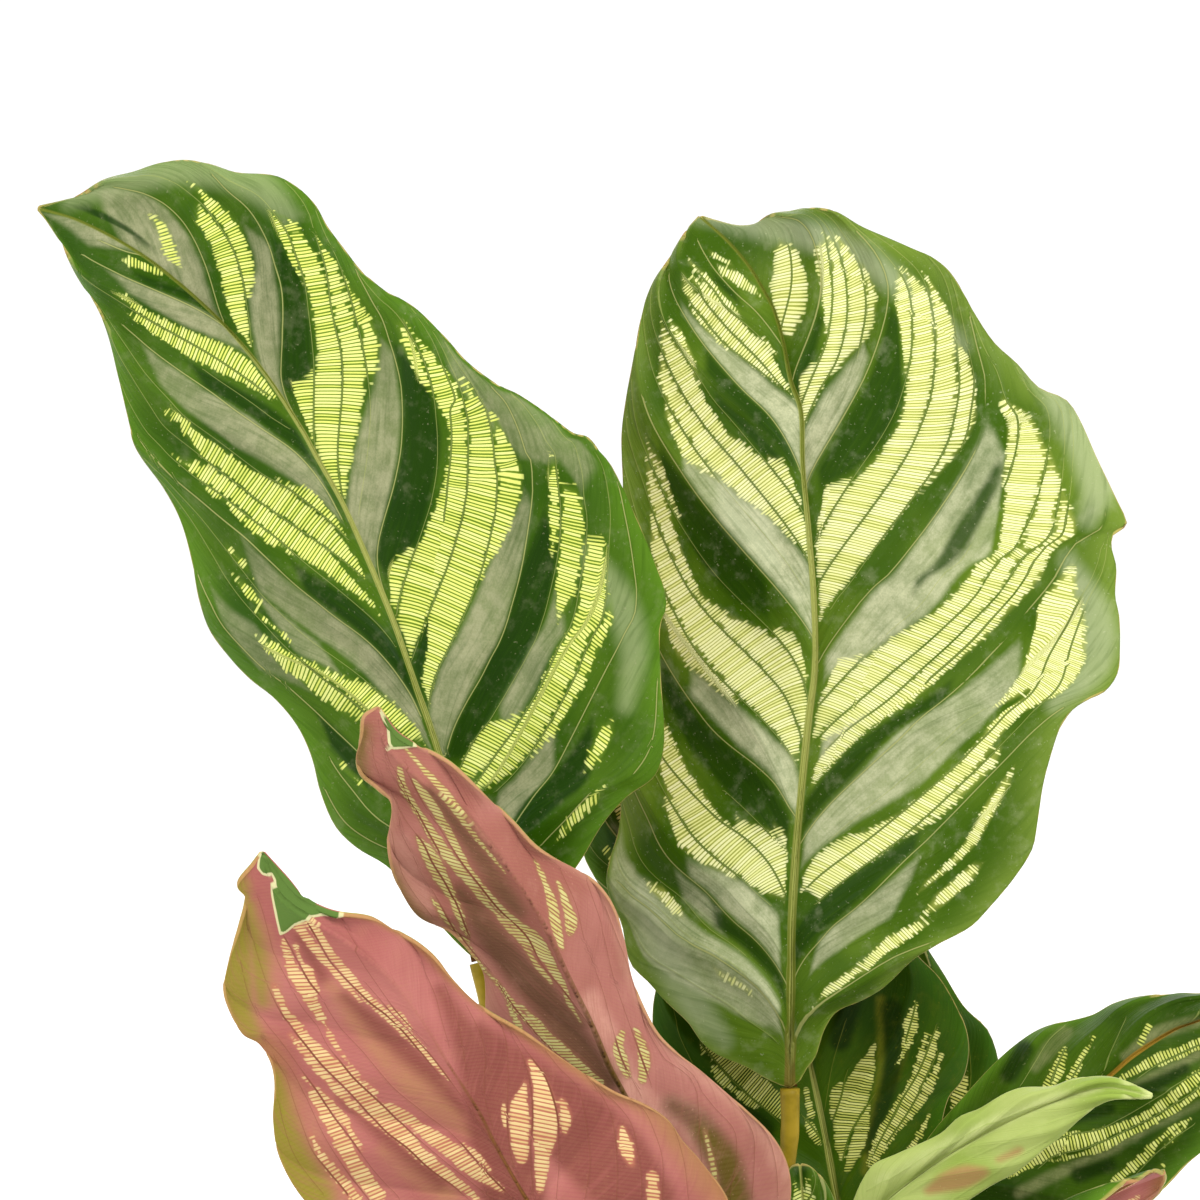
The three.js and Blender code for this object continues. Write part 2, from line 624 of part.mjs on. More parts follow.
    endTilt: -48,
    droop: [0, -3, -6, -7, -6, -3, 0],
    pleat: 1.6,
    soilSpot: [25, 21],
    stalkVia: [[30, 26, 130]],
    ...COARSE,
  }),
  front_left: archLeaf({
    foot: [-36, -42, 150],
    azimuth: 232,
    length: 96,
    width: 54,
    startTilt: 26,
    endTilt: -52,
    droop: [0, -3, -6, -7, -6, -3, 0],
    pleat: 1.5,
    soilSpot: [-22, -15],
    stalkVia: [[-25, -20, 125]],
    ...COARSE,
  }),
  front: archLeaf({
    foot: [10, -52, 150],
    azimuth: 282,
    length: 94,
    width: 52,
    startTilt: 28,
    endTilt: -52,
    droop: [0, -3, -6, -7, -6, -3, 0],
    pleat: 1.5,
    soilSpot: [5, -26],
    stalkVia: [[6, -31, 125]],
    ...COARSE,
  }),
};

// Colours and sheen of each kind of piece
const UPPER_GREEN = { color: 0x5f7a33, roughness: 0.42 };
const UNDERSIDE_ROSE = { color: 0x8a5a55, roughness: 0.55 };
const STALK_GREEN = { color: 0x8d8f3c, roughness: 0.5 };
const YOUNG_GREEN = { color: 0xa9c06a, roughness: 0.45 };
const SOIL_BROWN = { color: 0x2e2219, roughness: 0.95 };
const CLAY = { color: 0xb0613f, roughness: 0.85 };

const plant = new THREE.Group();
plant.name = 'potted_peacock_plant';

function addPiece(name, geometry, look) {
  const mesh = new THREE.Mesh(geometry, new THREE.MeshStandardMaterial({ ...look, metalness: 0 }));
  mesh.name = name;
  plant.add(mesh);
}

// A stalk runs straight up out of the soil, and ends just short of the blade in line with its rib
function stalkRoute(leaf) {
  const [x, y] = leaf.soilSpot;
  const base = leaf.put(leaf.rib(0), leaf.ribRise(0));
  const further = leaf.put(leaf.rib(0.06), leaf.ribRise(0.06));
  const heading = further.clone().sub(base).normalize();
  return [
    new THREE.Vector3(x, y, SOIL_EDGE_HEIGHT - STALK_DEPTH),
    new THREE.Vector3(x, y, SOIL_EDGE_HEIGHT),
    new THREE.Vector3(x, y, SOIL_EDGE_HEIGHT + 10),
    ...leaf.stalkVia.map((point) => new THREE.Vector3(...point)),
    base.clone().addScaledVector(heading, -10),
    base.clone().addScaledVector(heading, -1.3 * GAP),
  ];
}

for (const [name, leaf] of Object.entries(LEAVES)) {
  addPiece(`${name}_blade`, bladeGeometry(leaf), leaf.underside ? UNDERSIDE_ROSE : UPPER_GREEN);
  addPiece(`${name}_stalk`, stalkGeometry(stalkRoute(leaf), stalkRadii), STALK_GREEN);
}

// A new leaf, still rolled into a slim spike among the stalks
const ROLL_SPOT = [-6, -3];
const ROLL_TOP = 184;
const rollRoute = [
  new THREE.Vector3(...ROLL_SPOT, SOIL_EDGE_HEIGHT - STALK_DEPTH),
  new THREE.Vector3(...ROLL_SPOT, SOIL_EDGE_HEIGHT + 10),
  new THREE.Vector3(ROLL_SPOT[0] - 1, ROLL_SPOT[1] + 2, 140),
  new THREE.Vector3(ROLL_SPOT[0] - 4, ROLL_SPOT[1] + 4, ROLL_TOP),
];
addPiece('rolled_leaf', stalkGeometry(rollRoute, evenly([2.3, 2.1, 1.9, 2.6, 3.2, 2.6, 0.3])), YOUNG_GREEN);

// A closed lathe form or cylinder as a body that can be joined and cut
function bodyOf(geometry) {
  const bare = new THREE.BufferGeometry();
  bare.setAttribute('position', geometry.attributes.position);
  bare.setIndex(geometry.index);
  const merged = mergeVertices(bare);
  return new wasm.Manifold(new wasm.Mesh({
    numProp: 3,
    vertProperties: new Float32Array(merged.attributes.position.array),
    triVerts: new Uint32Array(merged.index.array),
  }));
}

function geometryOf(body) {
  const mesh = body.getMesh();
  const geometry = new THREE.BufferGeometry();
  geometry.setAttribute('position', new THREE.BufferAttribute(mesh.vertProperties, 3));
  geometry.setIndex(new THREE.BufferAttribute(mesh.triVerts, 1));
  return geometry;
}

// A turned form standing on +Z, from half its section drawn as [radius, height] points
function turned(section) {
  const lathe = new THREE.LatheGeometry(section.map(([radius, height]) => new THREE.Vector2(radius, height)), ROUND_SIDES);
  return bodyOf(lathe.rotateX(Math.PI / 2));
}

function uprightCylinder(radius, sides, [x, y], bottom, top) {
  const cylinder = new THREE.CylinderGeometry(radius, radius, top - bottom, sides);
  return bodyOf(cylinder.rotateX(Math.PI / 2).translate(x, y, (top + bottom) / 2));
}

const neckHeight = POT_HEIGHT - POT_RIM_HEIGHT;
const innerFoot = POT_FOOT_RADIUS - POT_WALL;
const innerNeck = POT_NECK_RADIUS - POT_WALL;
const innerRim = POT_RIM_RADIUS - POT_WALL - POT_EDGE;
let pot = turned([
  [0, 0],
  [POT_FOOT_RADIUS - POT_EDGE, 0],
  [POT_FOOT_RADIUS, POT_EDGE],
  [POT_NECK_RADIUS, neckHeight - POT_EDGE],
  [POT_RIM_FOOT_RADIUS, neckHeight],
  [POT_RIM_RADIUS, POT_HEIGHT - POT_EDGE],
  [POT_RIM_RADIUS - POT_EDGE, POT_HEIGHT],
  [innerRim + POT_EDGE, POT_HEIGHT],
  [innerRim, POT_HEIGHT - POT_EDGE],
  [innerNeck, neckHeight - POT_RIM_HEIGHT / 2],
  [innerFoot, POT_FLOOR],
  [0, POT_FLOOR],
]);
for (let i = 0; i < DRAIN_HOLES; i += 1) {
  const angle = (2 * Math.PI * (i + 0.5)) / DRAIN_HOLES;
  const spot = [DRAIN_CIRCLE_RADIUS * Math.cos(angle), DRAIN_CIRCLE_RADIUS * Math.sin(angle)];
  pot = pot.subtract(uprightCylinder(DRAIN_HOLE_RADIUS, 16, spot, -1, POT_FLOOR + 1));
}
addPiece('pot', geometryOf(pot), CLAY);

// The soil's edge lies just inside the wall of the pot
const neckInside = neckHeight - POT_RIM_HEIGHT / 2;
const soilEdge = mix(innerNeck, innerRim, (SOIL_EDGE_HEIGHT - neckInside) / (POT_HEIGHT - POT_EDGE - neckInside));
let soil = turned([
  [0, POT_FLOOR + GAP],
  [innerFoot - GAP, POT_FLOOR + GAP],
  [innerNeck - GAP, neckInside],
  [soilEdge - GAP, SOIL_EDGE_HEIGHT],
  [soilEdge * 0.75, SOIL_EDGE_HEIGHT + SOIL_CROWN * 0.5],
  [soilEdge * 0.4, SOIL_EDGE_HEIGHT + SOIL_CROWN * 0.9],
  [0, SOIL_EDGE_HEIGHT + SOIL_CROWN],
]);
const STALK_HOLE_SIDES = 8;
const stalkHoleRadius = (STALK_FOOT_RADIUS + GAP) / Math.cos(Math.PI / STALK_HOLE_SIDES);
for (const spot of [...Object.values(LEAVES).map((leaf) => leaf.soilSpot), ROLL_SPOT]) {
  const bottom = SOIL_EDGE_HEIGHT - STALK_DEPTH - GAP;
  soil = soil.subtract(uprightCylinder(stalkHoleRadius, STALK_HOLE_SIDES, spot, bottom, POT_HEIGHT));
}
addPiece('soil', geometryOf(soil), SOIL_BROWN);

export default plant;
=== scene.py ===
"""The look of the potted peacock plant: fine patterned leaves, stalks, soil and a clay pot."""

import math

import bpy
import numpy as np
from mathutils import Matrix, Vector


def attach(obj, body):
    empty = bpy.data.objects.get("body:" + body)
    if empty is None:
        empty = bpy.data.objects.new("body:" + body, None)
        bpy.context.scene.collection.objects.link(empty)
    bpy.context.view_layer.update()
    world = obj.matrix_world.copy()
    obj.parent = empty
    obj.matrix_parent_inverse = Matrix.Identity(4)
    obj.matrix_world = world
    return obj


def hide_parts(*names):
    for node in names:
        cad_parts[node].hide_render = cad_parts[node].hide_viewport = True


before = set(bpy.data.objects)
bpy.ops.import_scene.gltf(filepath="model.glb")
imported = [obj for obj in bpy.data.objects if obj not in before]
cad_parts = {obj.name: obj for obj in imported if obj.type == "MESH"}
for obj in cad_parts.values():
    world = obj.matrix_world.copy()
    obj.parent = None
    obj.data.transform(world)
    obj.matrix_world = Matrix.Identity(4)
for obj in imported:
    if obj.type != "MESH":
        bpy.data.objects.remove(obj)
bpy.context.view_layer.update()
MM = 0.001

# The front view in which the big leaves are drawn, in mm and pixels: the same as the solids'
MM_PER_PIXEL = 165 / 872
PHOTO_PIXELS = 1200
VIEW_CENTRE_PIXEL = 600
POT_AXIS_PIXEL = 690
VIEW_CENTRE_HEIGHT = 307
VIEW_DISTANCE = 1250
VIEW_ELEVATION = math.radians(6)
VIEW_TARGET = np.array([(VIEW_CENTRE_PIXEL - POT_AXIS_PIXEL) * MM_PER_PIXEL, 0, VIEW_CENTRE_HEIGHT])
VIEW_FORWARD = np.array([0, math.cos(VIEW_ELEVATION), -math.sin(VIEW_ELEVATION)])
VIEW_UP = np.array([0, math.sin(VIEW_ELEVATION), math.cos(VIEW_ELEVATION)])
VIEW_EYE = VIEW_TARGET - VIEW_DISTANCE * VIEW_FORWARD

# Veins bend like a stretched S between the rib and the margin, and a side is crowned halfway out
VEIN_SWAY = 0.6
HALF_CROWN = 1.8
MARGIN_RISE_POWER = 1.3

# A pleat has a sharp ridge, which rises over the first share of its veins and is lower at the margin
RIDGE_POWER = 1.5
RIDGE_DROP = 0.4
RIDGE_START = 0.35
RIDGE_FADE = 0.25
CREASE_SWEEP = 1.9

# A leaf that the photo doesn't show is an oval, wider at its foot, with a waved margin that hangs
ARCH_PLEATS = 5
OVAL_POWER = 0.9
FOOT_WIDENING = 0.26
WAVE_SHARE = 0.07
ARCH_DROOP = [0, -3, -6, -7, -6, -3, 0]

# Blades thin out from the rib to the margin, over this many mm
THICKNESS_AT_RIB = 0.9
THICKNESS_AT_MARGIN = 0.45
THINNING_WIDTH = 30

# The rib's keel on the underside, narrower and lower near the tip, and its groove on the upper face
KEEL_HEIGHT = 1.0
KEEL_WIDTH = 1.15
KEEL_NARROWING_LENGTH = 60
KEEL_LEAST_WIDTH_SHARE = 0.25
KEEL_LOWERING_LENGTH = 25
GROOVE_SHARE = 0.22


def from_view(flat, depth):
    """Points of the front view, at distances behind the pot's axis, as points of the plant."""
    ray = np.broadcast_to(VIEW_TARGET - VIEW_EYE, flat.shape[:-1] + (3,)).copy()
    ray[..., 0] += (flat[..., 0] - VIEW_CENTRE_PIXEL) * MM_PER_PIXEL
    ray += ((VIEW_CENTRE_PIXEL - flat[..., 1]) * MM_PER_PIXEL)[..., None] * VIEW_UP
    return VIEW_EYE + ray * ((depth - VIEW_EYE[1]) / ray[..., 1])[..., None]


def runs_along(line):
    """How far along a line of points each of them lies."""
    return np.concatenate([[0], np.cumsum(np.linalg.norm(np.diff(line, axis=0), axis=1))])


def curve_through(knots, points):
    """A smooth curve through points, each reached at its own knot between 0 and 1."""
    knots = np.array(knots, float)
    points = np.array(points, float)
    last = len(points) - 1
    before = np.maximum(np.arange(last + 1) - 1, 0)
    after = np.minimum(np.arange(last + 1) + 1, last)
    slopes = (points[after] - points[before]) / (knots[after] - knots[before])[:, None]

    def curve(fractions):
        fractions = np.asarray(fractions, float)
        i = np.clip(np.searchsorted(knots, fractions) - 1, 0, last - 1)
        span = (knots[i + 1] - knots[i])[..., None]
        t = np.clip((fractions - knots[i])[..., None] / span, 0, 1)
        rise = t * t * (3 - 2 * t)
        bend = t * (1 - t) * span * ((1 - t) * slopes[i] - t * slopes[i + 1])
        return points[i] * (1 - rise) + points[i + 1] * rise + bend

    return curve


def path_through(points):
    """A smooth curve through points by the fraction of the way along it."""
    points = np.array(points, float)
    lengths = runs_along(points)
    return curve_through(lengths / lengths[-1], points)


def dense_path(points, steps):
    """A smooth curve through points, as a line with this many points for each given one."""
    return path_through(points)(np.linspace(0, 1, steps * len(points)))


def evenly(values):
    """A smooth run of values spread evenly from 0 to 1."""
    curve = curve_through(np.linspace(0, 1, len(values)), np.array(values, float)[:, None])
    return lambda fractions: curve(fractions)[..., 0]


def outward_share(t):
    """How far out from the rib a vein has come."""
    return t * (1 - VEIN_SWAY) + t * t * (3 - 2 * t) * VEIN_SWAY


def vein_points(rib, margin, rib_fractions, margin_fractions, t):
    """Points along veins from the rib to the margin."""
    along = rib_fractions + (margin_fractions - rib_fractions) * t
    share = outward_share(t)[..., None]
    return rib(along) * (1 - share) + margin(along) * share


def pleat_rise(last_place, place, t):
    """How high the pleats stand, as a share of their full height: highest on the creases."""
    sideways = np.abs(place - np.round(place))
    ridge = (1 - 2 * sideways) ** RIDGE_POWER - RIDGE_DROP
    outwards = np.minimum(1, t / RIDGE_START) * (1 - RIDGE_FADE * t)
    endwards = np.clip(np.minimum(place, last_place - place), 0, 1)
    return ridge * outwards * endwards


def even_creases(count):
    """Where evenly spread creases start on the rib and end on the margin, as fractions of both."""
    share = np.arange(count + 1) / count
    return np.stack([share**CREASE_SWEEP, 1 - (1 - share) ** CREASE_SWEEP], axis=1)


def view_leaf(rib, left, right, depth, left_depth, right_depth, left_creases, right_creases, **rest):
    """A leaf drawn in the front view, in pixels, with its depths behind the pot's axis in mm."""
    return dict(
        rib=path_through(rib),
        margins=[path_through(left), path_through(right)],
        rib_rise=evenly([-value for value in depth]),
        margin_rise=[evenly([-value for value in values]) for values in (left_depth, right_depth)],
        creases=[np.array(left_creases, float), np.array(right_creases, float)],
        put=lambda flat, rise: from_view(flat, -rise),
        flat_scale=MM_PER_PIXEL,
        **rest,
    )


def arch_leaf(foot, azimuth, length, width, start_tilt, end_tilt, droop=ARCH_DROOP, **rest):
    """A leaf that arches away from its foot, with its azimuth and its slopes at both ends in degrees."""
    creases = even_creases(ARCH_PLEATS)
    edge = []
    for i in range(ARCH_PLEATS):
        for part in (0, 1 / 3, 2 / 3):
            fraction = creases[i][1] + (creases[i + 1][1] - creases[i][1]) * part
            angle = math.pi * fraction
            wave = 1 + WAVE_SHARE * math.sin(math.pi * part)
            widening = 1 + FOOT_WIDENING * math.cos(angle)
            across = width / 2 * math.sin(angle) ** OVAL_POWER * widening * wave
            edge.append([across, length * (1 - math.cos(angle)) / 2])
    edge.append([0, length])
    edge = np.array(edge)
    start = math.radians(start_tilt)
    bend = math.radians(start_tilt - end_tilt) / length
    turn = math.radians(azimuth)
    outward = np.array([math.cos(turn), math.sin(turn), 0])
    upward = np.array([0, 0, 1])
    sideways = np.cross(outward, upward)

    def put(flat, rise):
        across, along = flat[..., 0], flat[..., 1]
        tilt = start - bend * along
        tangent = outward * np.cos(tilt)[..., None] + upward * np.sin(tilt)[..., None]
        normal = np.cross(sideways, tangent)
        out = (math.sin(start) - np.sin(tilt)) / bend
        up = (np.cos(tilt) - math.cos(start)) / bend
        centre = np.array(foot, float) + outward * out[..., None] + upward * up[..., None]
        return centre + sideways * across[..., None] + normal * np.asarray(rise)[..., None]

    return dict(
        rib=lambda fractions: np.stack([np.zeros_like(fractions), length * np.asarray(fractions)], axis=-1),
        margins=[path_through(edge * [-1, 1]), path_through(edge)],
        rib_rise=lambda fractions: np.zeros_like(fractions),
        margin_rise=[evenly(droop), evenly(droop)],
        creases=[creases, creases],
        put=put,
        flat_scale=1.0,
        **rest,
    )


# Ribs, margins and depths run from the foot to the tip, and a crease is given by how far along the rib
# and the margin its ends lie. pleat: its height in mm. underside: the lower face is towards the camera.
# fine: the mesh is finer. rib_half_width: in mm at the foot and the tip. keel_share: of the full keel.
# pitch: between hatch lines, in mm. slant: how hatch lines lean left and right of the rib. soil_spot and
# stalk_via: where the stalk leaves the soil and what it passes on its way to the blade's foot, in mm
LEAVES = {
    "tall_left": view_leaf(
        rib=[[479, 962], [462, 880], [450, 810], [439, 753], [413, 678], [392, 617], [365, 552], [342, 502],
             [317, 457], [303, 431], [269, 379], [230, 331], [186, 289], [138, 252], [80, 221], [38, 208]],
        left=[[479, 962], [452, 936], [420, 900], [388, 866], [357, 847], [336, 826], [321, 791],
              [313, 759], [298, 726], [275, 698], [251, 679], [232, 659], [211, 631], [200, 600],
              [194, 569], [182, 523], [165, 489], [137, 449], [129, 423], [119, 377], [110, 339],
              [100, 312], [77, 274], [62, 243], [48, 220], [38, 208]],
        right=[[479, 962], [505, 950], [540, 915], [579, 863], [603, 823], [627, 796], [655, 775],
               [664, 740], [661, 680], [660, 627], [666, 608], [664, 587], [656, 566], [641, 529],
               [622, 487], [610, 464], [599, 451], [587, 437], [574, 434], [550, 416], [518, 395],
               [499, 386], [467, 362], [444, 336], [417, 310], [400, 299], [387, 293], [362, 272],
               [344, 249], [327, 226], [314, 203], [295, 186], [274, 176], [236, 173], [211, 165],
               [186, 160], [160, 163], [136, 172], [104, 181], [76, 198], [38, 208]],
        depth=[-2, 1, 5, 10, 17, 26, 38], left_depth=[0, 6, 10, 11, 9, 4, 0],
        right_depth=[0, -5, -11, -13, -9, -4, 0],
        left_creases=[[0, 0], [0.03, 0.3], [0.13, 0.55], [0.29, 0.725], [0.5, 0.86], [0.75, 0.94], [1, 1]],
        right_creases=[
            [0, 0], [0.03, 0.24], [0.1, 0.47], [0.22, 0.565], [0.41, 0.7], [0.63, 0.865], [0.74, 0.96],
            [1, 1],
        ],
        pleat=2.2, soil_spot=[-17, 3], stalk_via=[[-20, 3, 130], [-35, 0, 185]], fine=True,
        rib_half_width=[0.85, 0.35],
    ),
    "tall_right": view_leaf(
        rib=[[790, 1088], [791, 999], [792, 920], [797, 840], [802, 784], [809, 717], [815, 668],
             [814, 601], [809, 534], [803, 467], [801, 411], [791, 381], [783, 341], [774, 310], [765, 293],
             [750, 268], [729, 243], [700, 217]],
        left=[[790, 1088], [765, 1077], [746, 1066], [717, 1054], [702, 1042], [689, 1023], [666, 1001],
              [649, 982], [631, 963], [622, 923], [611, 899], [607, 881], [610, 860], [619, 830],
              [622, 790], [622, 700], [621, 600], [623, 487], [622, 457], [622, 434], [627, 397],
              [635, 354], [641, 318], [653, 284], [669, 260], [686, 233], [700, 217]],
        right=[[790, 1088], [799, 1080], [806, 1068], [815, 1056], [824, 1029], [837, 1010], [862, 999],
               [883, 987], [914, 958], [936, 945], [970, 927], [988, 909], [1014, 878], [1032, 849],
               [1037, 824], [1043, 784], [1052, 750], [1059, 730], [1072, 710], [1088, 699], [1106, 690],
               [1118, 672], [1120, 645], [1119, 616], [1115, 596], [1116, 567], [1111, 545], [1115, 532],
               [1127, 525], [1115, 496], [1097, 458], [1079, 418], [1066, 400], [1039, 388], [1017, 364],
               [994, 343], [972, 310], [961, 289], [948, 270], [932, 257], [918, 251], [889, 239],
               [861, 227], [835, 212], [812, 208], [791, 212], [772, 215], [755, 225], [738, 227],
               [716, 222], [700, 217]],
        depth=[16, 17, 20, 26, 35, 48, 64], left_depth=[0, 6, 10, 11, 8, 4, 0],
        right_depth=[0, -6, -11, -12, -9, -4, 0],
        left_creases=[
            [0, 0], [0.035, 0.31], [0.11, 0.44], [0.28, 0.68], [0.47, 0.85], [0.67, 0.94], [0.82, 0.975],
            [1, 1],
        ],
        right_creases=[
            [0, 0], [0.03, 0.16], [0.135, 0.365], [0.27, 0.535], [0.45, 0.775], [0.66, 0.895],
            [0.78, 0.945], [1, 1],
        ],
        pleat=2.2, soil_spot=[6, 9], stalk_via=[[9, 11, 130], [17, 15, 180]], fine=True,
        rib_half_width=[1.05, 0.42], pitch=0.58, slant=[0.05, 0.42],
    ),
    "middle": view_leaf(
        rib=[[725, 1290], [680, 1200], [648, 1140], [624, 1093], [610, 1068], [591, 1024], [568, 976],
             [544, 925], [521, 887], [490, 845], [451, 803], [412, 773], [385, 742], [378, 707]],
        left=[[725, 1290], [640, 1240], [560, 1160], [505, 1080], [487, 1020], [484, 975], [472, 955],
              [449, 931], [420, 917], [406, 900], [393, 873], [388, 843], [391, 804], [378, 789],
              [361, 774], [357, 756], [361, 735], [364, 716], [378, 707]],
        right=[[725, 1290], [770, 1260], [788, 1215], [790, 1175], [775, 1140], [740, 1105], [700, 1070],
               [677, 1053], [658, 1034], [643, 1007], [631, 976], [624, 938], [613, 906], [598, 885],
               [579, 871], [538, 848], [512, 821], [483, 793], [454, 766], [437, 755], [420, 747],
               [396, 732], [378, 707]],
        depth=[-14, -17, -21, -25, -30, -36, -42], left_depth=[0, 4, 8, 9, 7, 3, 0],
        right_depth=[0, 4, 8, 9, 7, 3, 0],
        left_creases=[[0, 0], [0.05, 0.3], [0.2, 0.5], [0.36, 0.66], [0.52, 0.8], [0.72, 0.92], [1, 1]],
        right_creases=[[0, 0], [0.05, 0.3], [0.22, 0.5], [0.4, 0.66], [0.58, 0.8], [0.76, 0.92], [1, 1]],
        pleat=1.8, underside=True, soil_spot=[2, -9], stalk_via=[[5, -11, 130], [11, -13, 158]], fine=True,
        rib_half_width=[0.38, -0.16], keel_share=0.08, pitch=0.9,
    ),
    "low_front": view_leaf(
        rib=[[600, 1330], [565, 1260], [522, 1191], [496, 1145], [476, 1107], [448, 1063], [417, 1014],
             [389, 978], [352, 946], [312, 920], [278, 893], [262, 852]],
        left=[[600, 1330], [520, 1320], [430, 1290], [355, 1250], [304, 1200], [280, 1158], [273, 1118],
              [275, 1084], [271, 1062], [259, 1043], [243, 1034], [232, 1016], [224, 990], [229, 959],
              [240, 924], [246, 896], [237, 885], [253, 864], [262, 852]],
        right=[[600, 1330], [690, 1300], [735, 1240], [728, 1200], [700, 1160], [683, 1141], [668, 1120],
               [645, 1105], [616, 1093], [591, 1078], [563, 1059], [524, 1032], [484, 1009], [456, 983],
               [434, 957], [417, 943], [396, 931], [372, 918], [337, 913], [317, 906], [303, 897],
               [286, 878], [262, 852]],
        depth=[-34, -40, -46, -53, -60, -67, -75], left_depth=[0, 5, 9, 10, 8, 4, 0],
        right_depth=[0, 4, 9, 10, 8, 4, 0],
        left_creases=[[0, 0], [0.05, 0.35], [0.2, 0.55], [0.35, 0.68], [0.52, 0.8], [0.7, 0.92], [1, 1]],
        right_creases=[[0, 0], [0.05, 0.3], [0.22, 0.5], [0.4, 0.66], [0.58, 0.8], [0.76, 0.92], [1, 1]],
        pleat=1.8, underside=True, soil_spot=[-9, -17], stalk_via=[[-9, -21, 125], [-12, -30, 150]],
        fine=True, rib_half_width=[0.38, -0.16], keel_share=0.08, pitch=0.78,
    ),
    "lower": view_leaf(
        rib=[[850, 1260], [837, 1200], [824, 1130], [811, 1068], [796, 1000], [780, 930], [762, 865]],
        left=[[850, 1260], [800, 1268], [740, 1245], [690, 1190], [663, 1120], [655, 1062], [653, 1026],
              [655, 997], [668, 950], [690, 915], [720, 885], [762, 865]],
        right=[[850, 1260], [900, 1250], [930, 1210], [938, 1170], [940, 1133], [948, 1098], [962, 1079],
               [968, 1054], [966, 1031], [956, 1006], [939, 978], [918, 957], [895, 925], [860, 900],
               [820, 880], [762, 865]],
        depth=[26, 28, 30, 32, 34, 36, 38], left_depth=[0, 1, 0, -1, 0, 1, 0],
        right_depth=[0, 3, 5, 5, 4, 2, 0], left_creases=even_creases(6), right_creases=even_creases(6),
        pleat=1.8, soil_spot=[15, 17], stalk_via=[[19, 20, 130], [30, 25, 160]], fine=True, pitch=0.52,
    ),
    "right": view_leaf(
        rib=[[905, 1235], [960, 1185], [1010, 1145], [1060, 1110], [1107, 1078], [1133, 1056], [1174, 1030],
             [1200, 1020], [1250, 1000], [1300, 985]],
        left=[[905, 1235], [905, 1190], [925, 1145], [960, 1102], [998, 1061], [1026, 1038], [1047, 1027],
              [1092, 1016], [1113, 1005], [1133, 999], [1156, 996], [1178, 994], [1200, 995], [1250, 988],
              [1300, 985]],
        right=[[905, 1235], [950, 1262], [1010, 1272], [1060, 1262], [1110, 1235], [1150, 1202],
               [1171, 1181], [1187, 1164], [1200, 1153], [1240, 1110], [1275, 1055], [1300, 985]],
        depth=[12, 6, 2, 0, -4, -8, -12], left_depth=[0, 6, 10, 11, 9, 4, 0],
        right_depth=[0, -6, -10, -12, -10, -5, 0], left_creases=even_creases(6),
        right_creases=even_creases(6), pleat=1.8, soil_spot=[22, 5],
        stalk_via=[[25, 8, 135], [32, 11, 168]], fine=True,
    ),
    "young": view_leaf(
        rib=[[850, 1235], [900, 1190], [960, 1148], [1030, 1112], [1100, 1088], [1153, 1096]],
        left=[[850, 1235], [853, 1205], [872, 1167], [895, 1156], [941, 1135], [960, 1118], [980, 1110],
              [1003, 1096], [1021, 1089], [1052, 1088], [1072, 1081], [1095, 1078], [1113, 1079],
              [1133, 1086], [1153, 1096]],
        right=[[850, 1235], [900, 1232], [945, 1214], [991, 1185], [1018, 1170], [1041, 1151], [1058, 1138],
               [1079, 1118], [1098, 1104], [1113, 1098], [1142, 1097], [1153, 1096]],
        depth=[-8, -12, -18, -24, -30, -36], left_depth=[0, 2, 3, 3, 1, 0],
        right_depth=[0, -2, -3, -3, -1, 0], left_creases=even_creases(5), right_creases=even_creases(5),
        pleat=0.8, soil_spot=[14, -8], stalk_via=[[17, -9, 130], [24, -8, 165]], young=True,
    ),
    "behind": view_leaf(
        rib=[[690, 985], [676, 900], [662, 800], [650, 700], [640, 610]],
        left=[[690, 985], [655, 960], [625, 925], [600, 885], [583, 850], [585, 790], [598, 720],
              [615, 660], [640, 610]],
        right=[[690, 985], [720, 950], [735, 880], [735, 800], [715, 720], [685, 660], [640, 610]],
        depth=[42, 44, 46, 48, 50], left_depth=[0, 2, 3, 2, 0], right_depth=[0, 2, 3, 2, 0],
        left_creases=even_creases(5), right_creases=even_creases(5), pleat=1.5, soil_spot=[-2, 19],
        stalk_via=[[-2, 23, 130], [1, 38, 195]],
    ),
    "hidden": view_leaf(
        rib=[[880, 1300], [888, 1220], [892, 1140], [888, 1060], [876, 990], [858, 925], [840, 870]],
        left=[[880, 1300], [835, 1280], [800, 1220], [785, 1140], [785, 1060], [790, 990], [800, 930],
              [815, 890], [840, 870]],
        right=[[880, 1300], [930, 1290], [975, 1240], [1000, 1180], [1005, 1120], [998, 1062], [987, 1030],
               [964, 1007], [943, 974], [928, 951], [905, 915], [875, 885], [840, 870]],
        depth=[47, 49, 51, 52, 54, 56, 58], left_depth=[0, 2, 3, 3, 2, 1, 0],
        right_depth=[0, 2, 3, 3, 2, 1, 0], left_creases=even_creases(5), right_creases=even_creases(5),
        pleat=1.5, soil_spot=[6, 28], stalk_via=[[10, 32, 125], [30, 43, 155]],
    ),
    "small": view_leaf(
        rib=[[818, 1400], [812, 1320], [806, 1240], [800, 1165]],
        left=[[818, 1400], [790, 1375], [768, 1320], [766, 1250], [778, 1195], [792, 1168], [800, 1165]],
        right=[[818, 1400], [845, 1370], [858, 1310], [852, 1250], [832, 1197], [820, 1177], [808, 1167],
               [800, 1165]],
        depth=[-1, -1, 0, 2], left_depth=[0, 2, 2, 0], right_depth=[0, 2, 2, 0],
        left_creases=even_creases(4), right_creases=even_creases(4), pleat=0.7, soil_spot=[12, 0],
        stalk_via=[[13, 0, 120]],
    ),
    "near": arch_leaf(
        foot=[34, -38, 150], azimuth=-40, length=90, width=46, start_tilt=65, end_tilt=25,
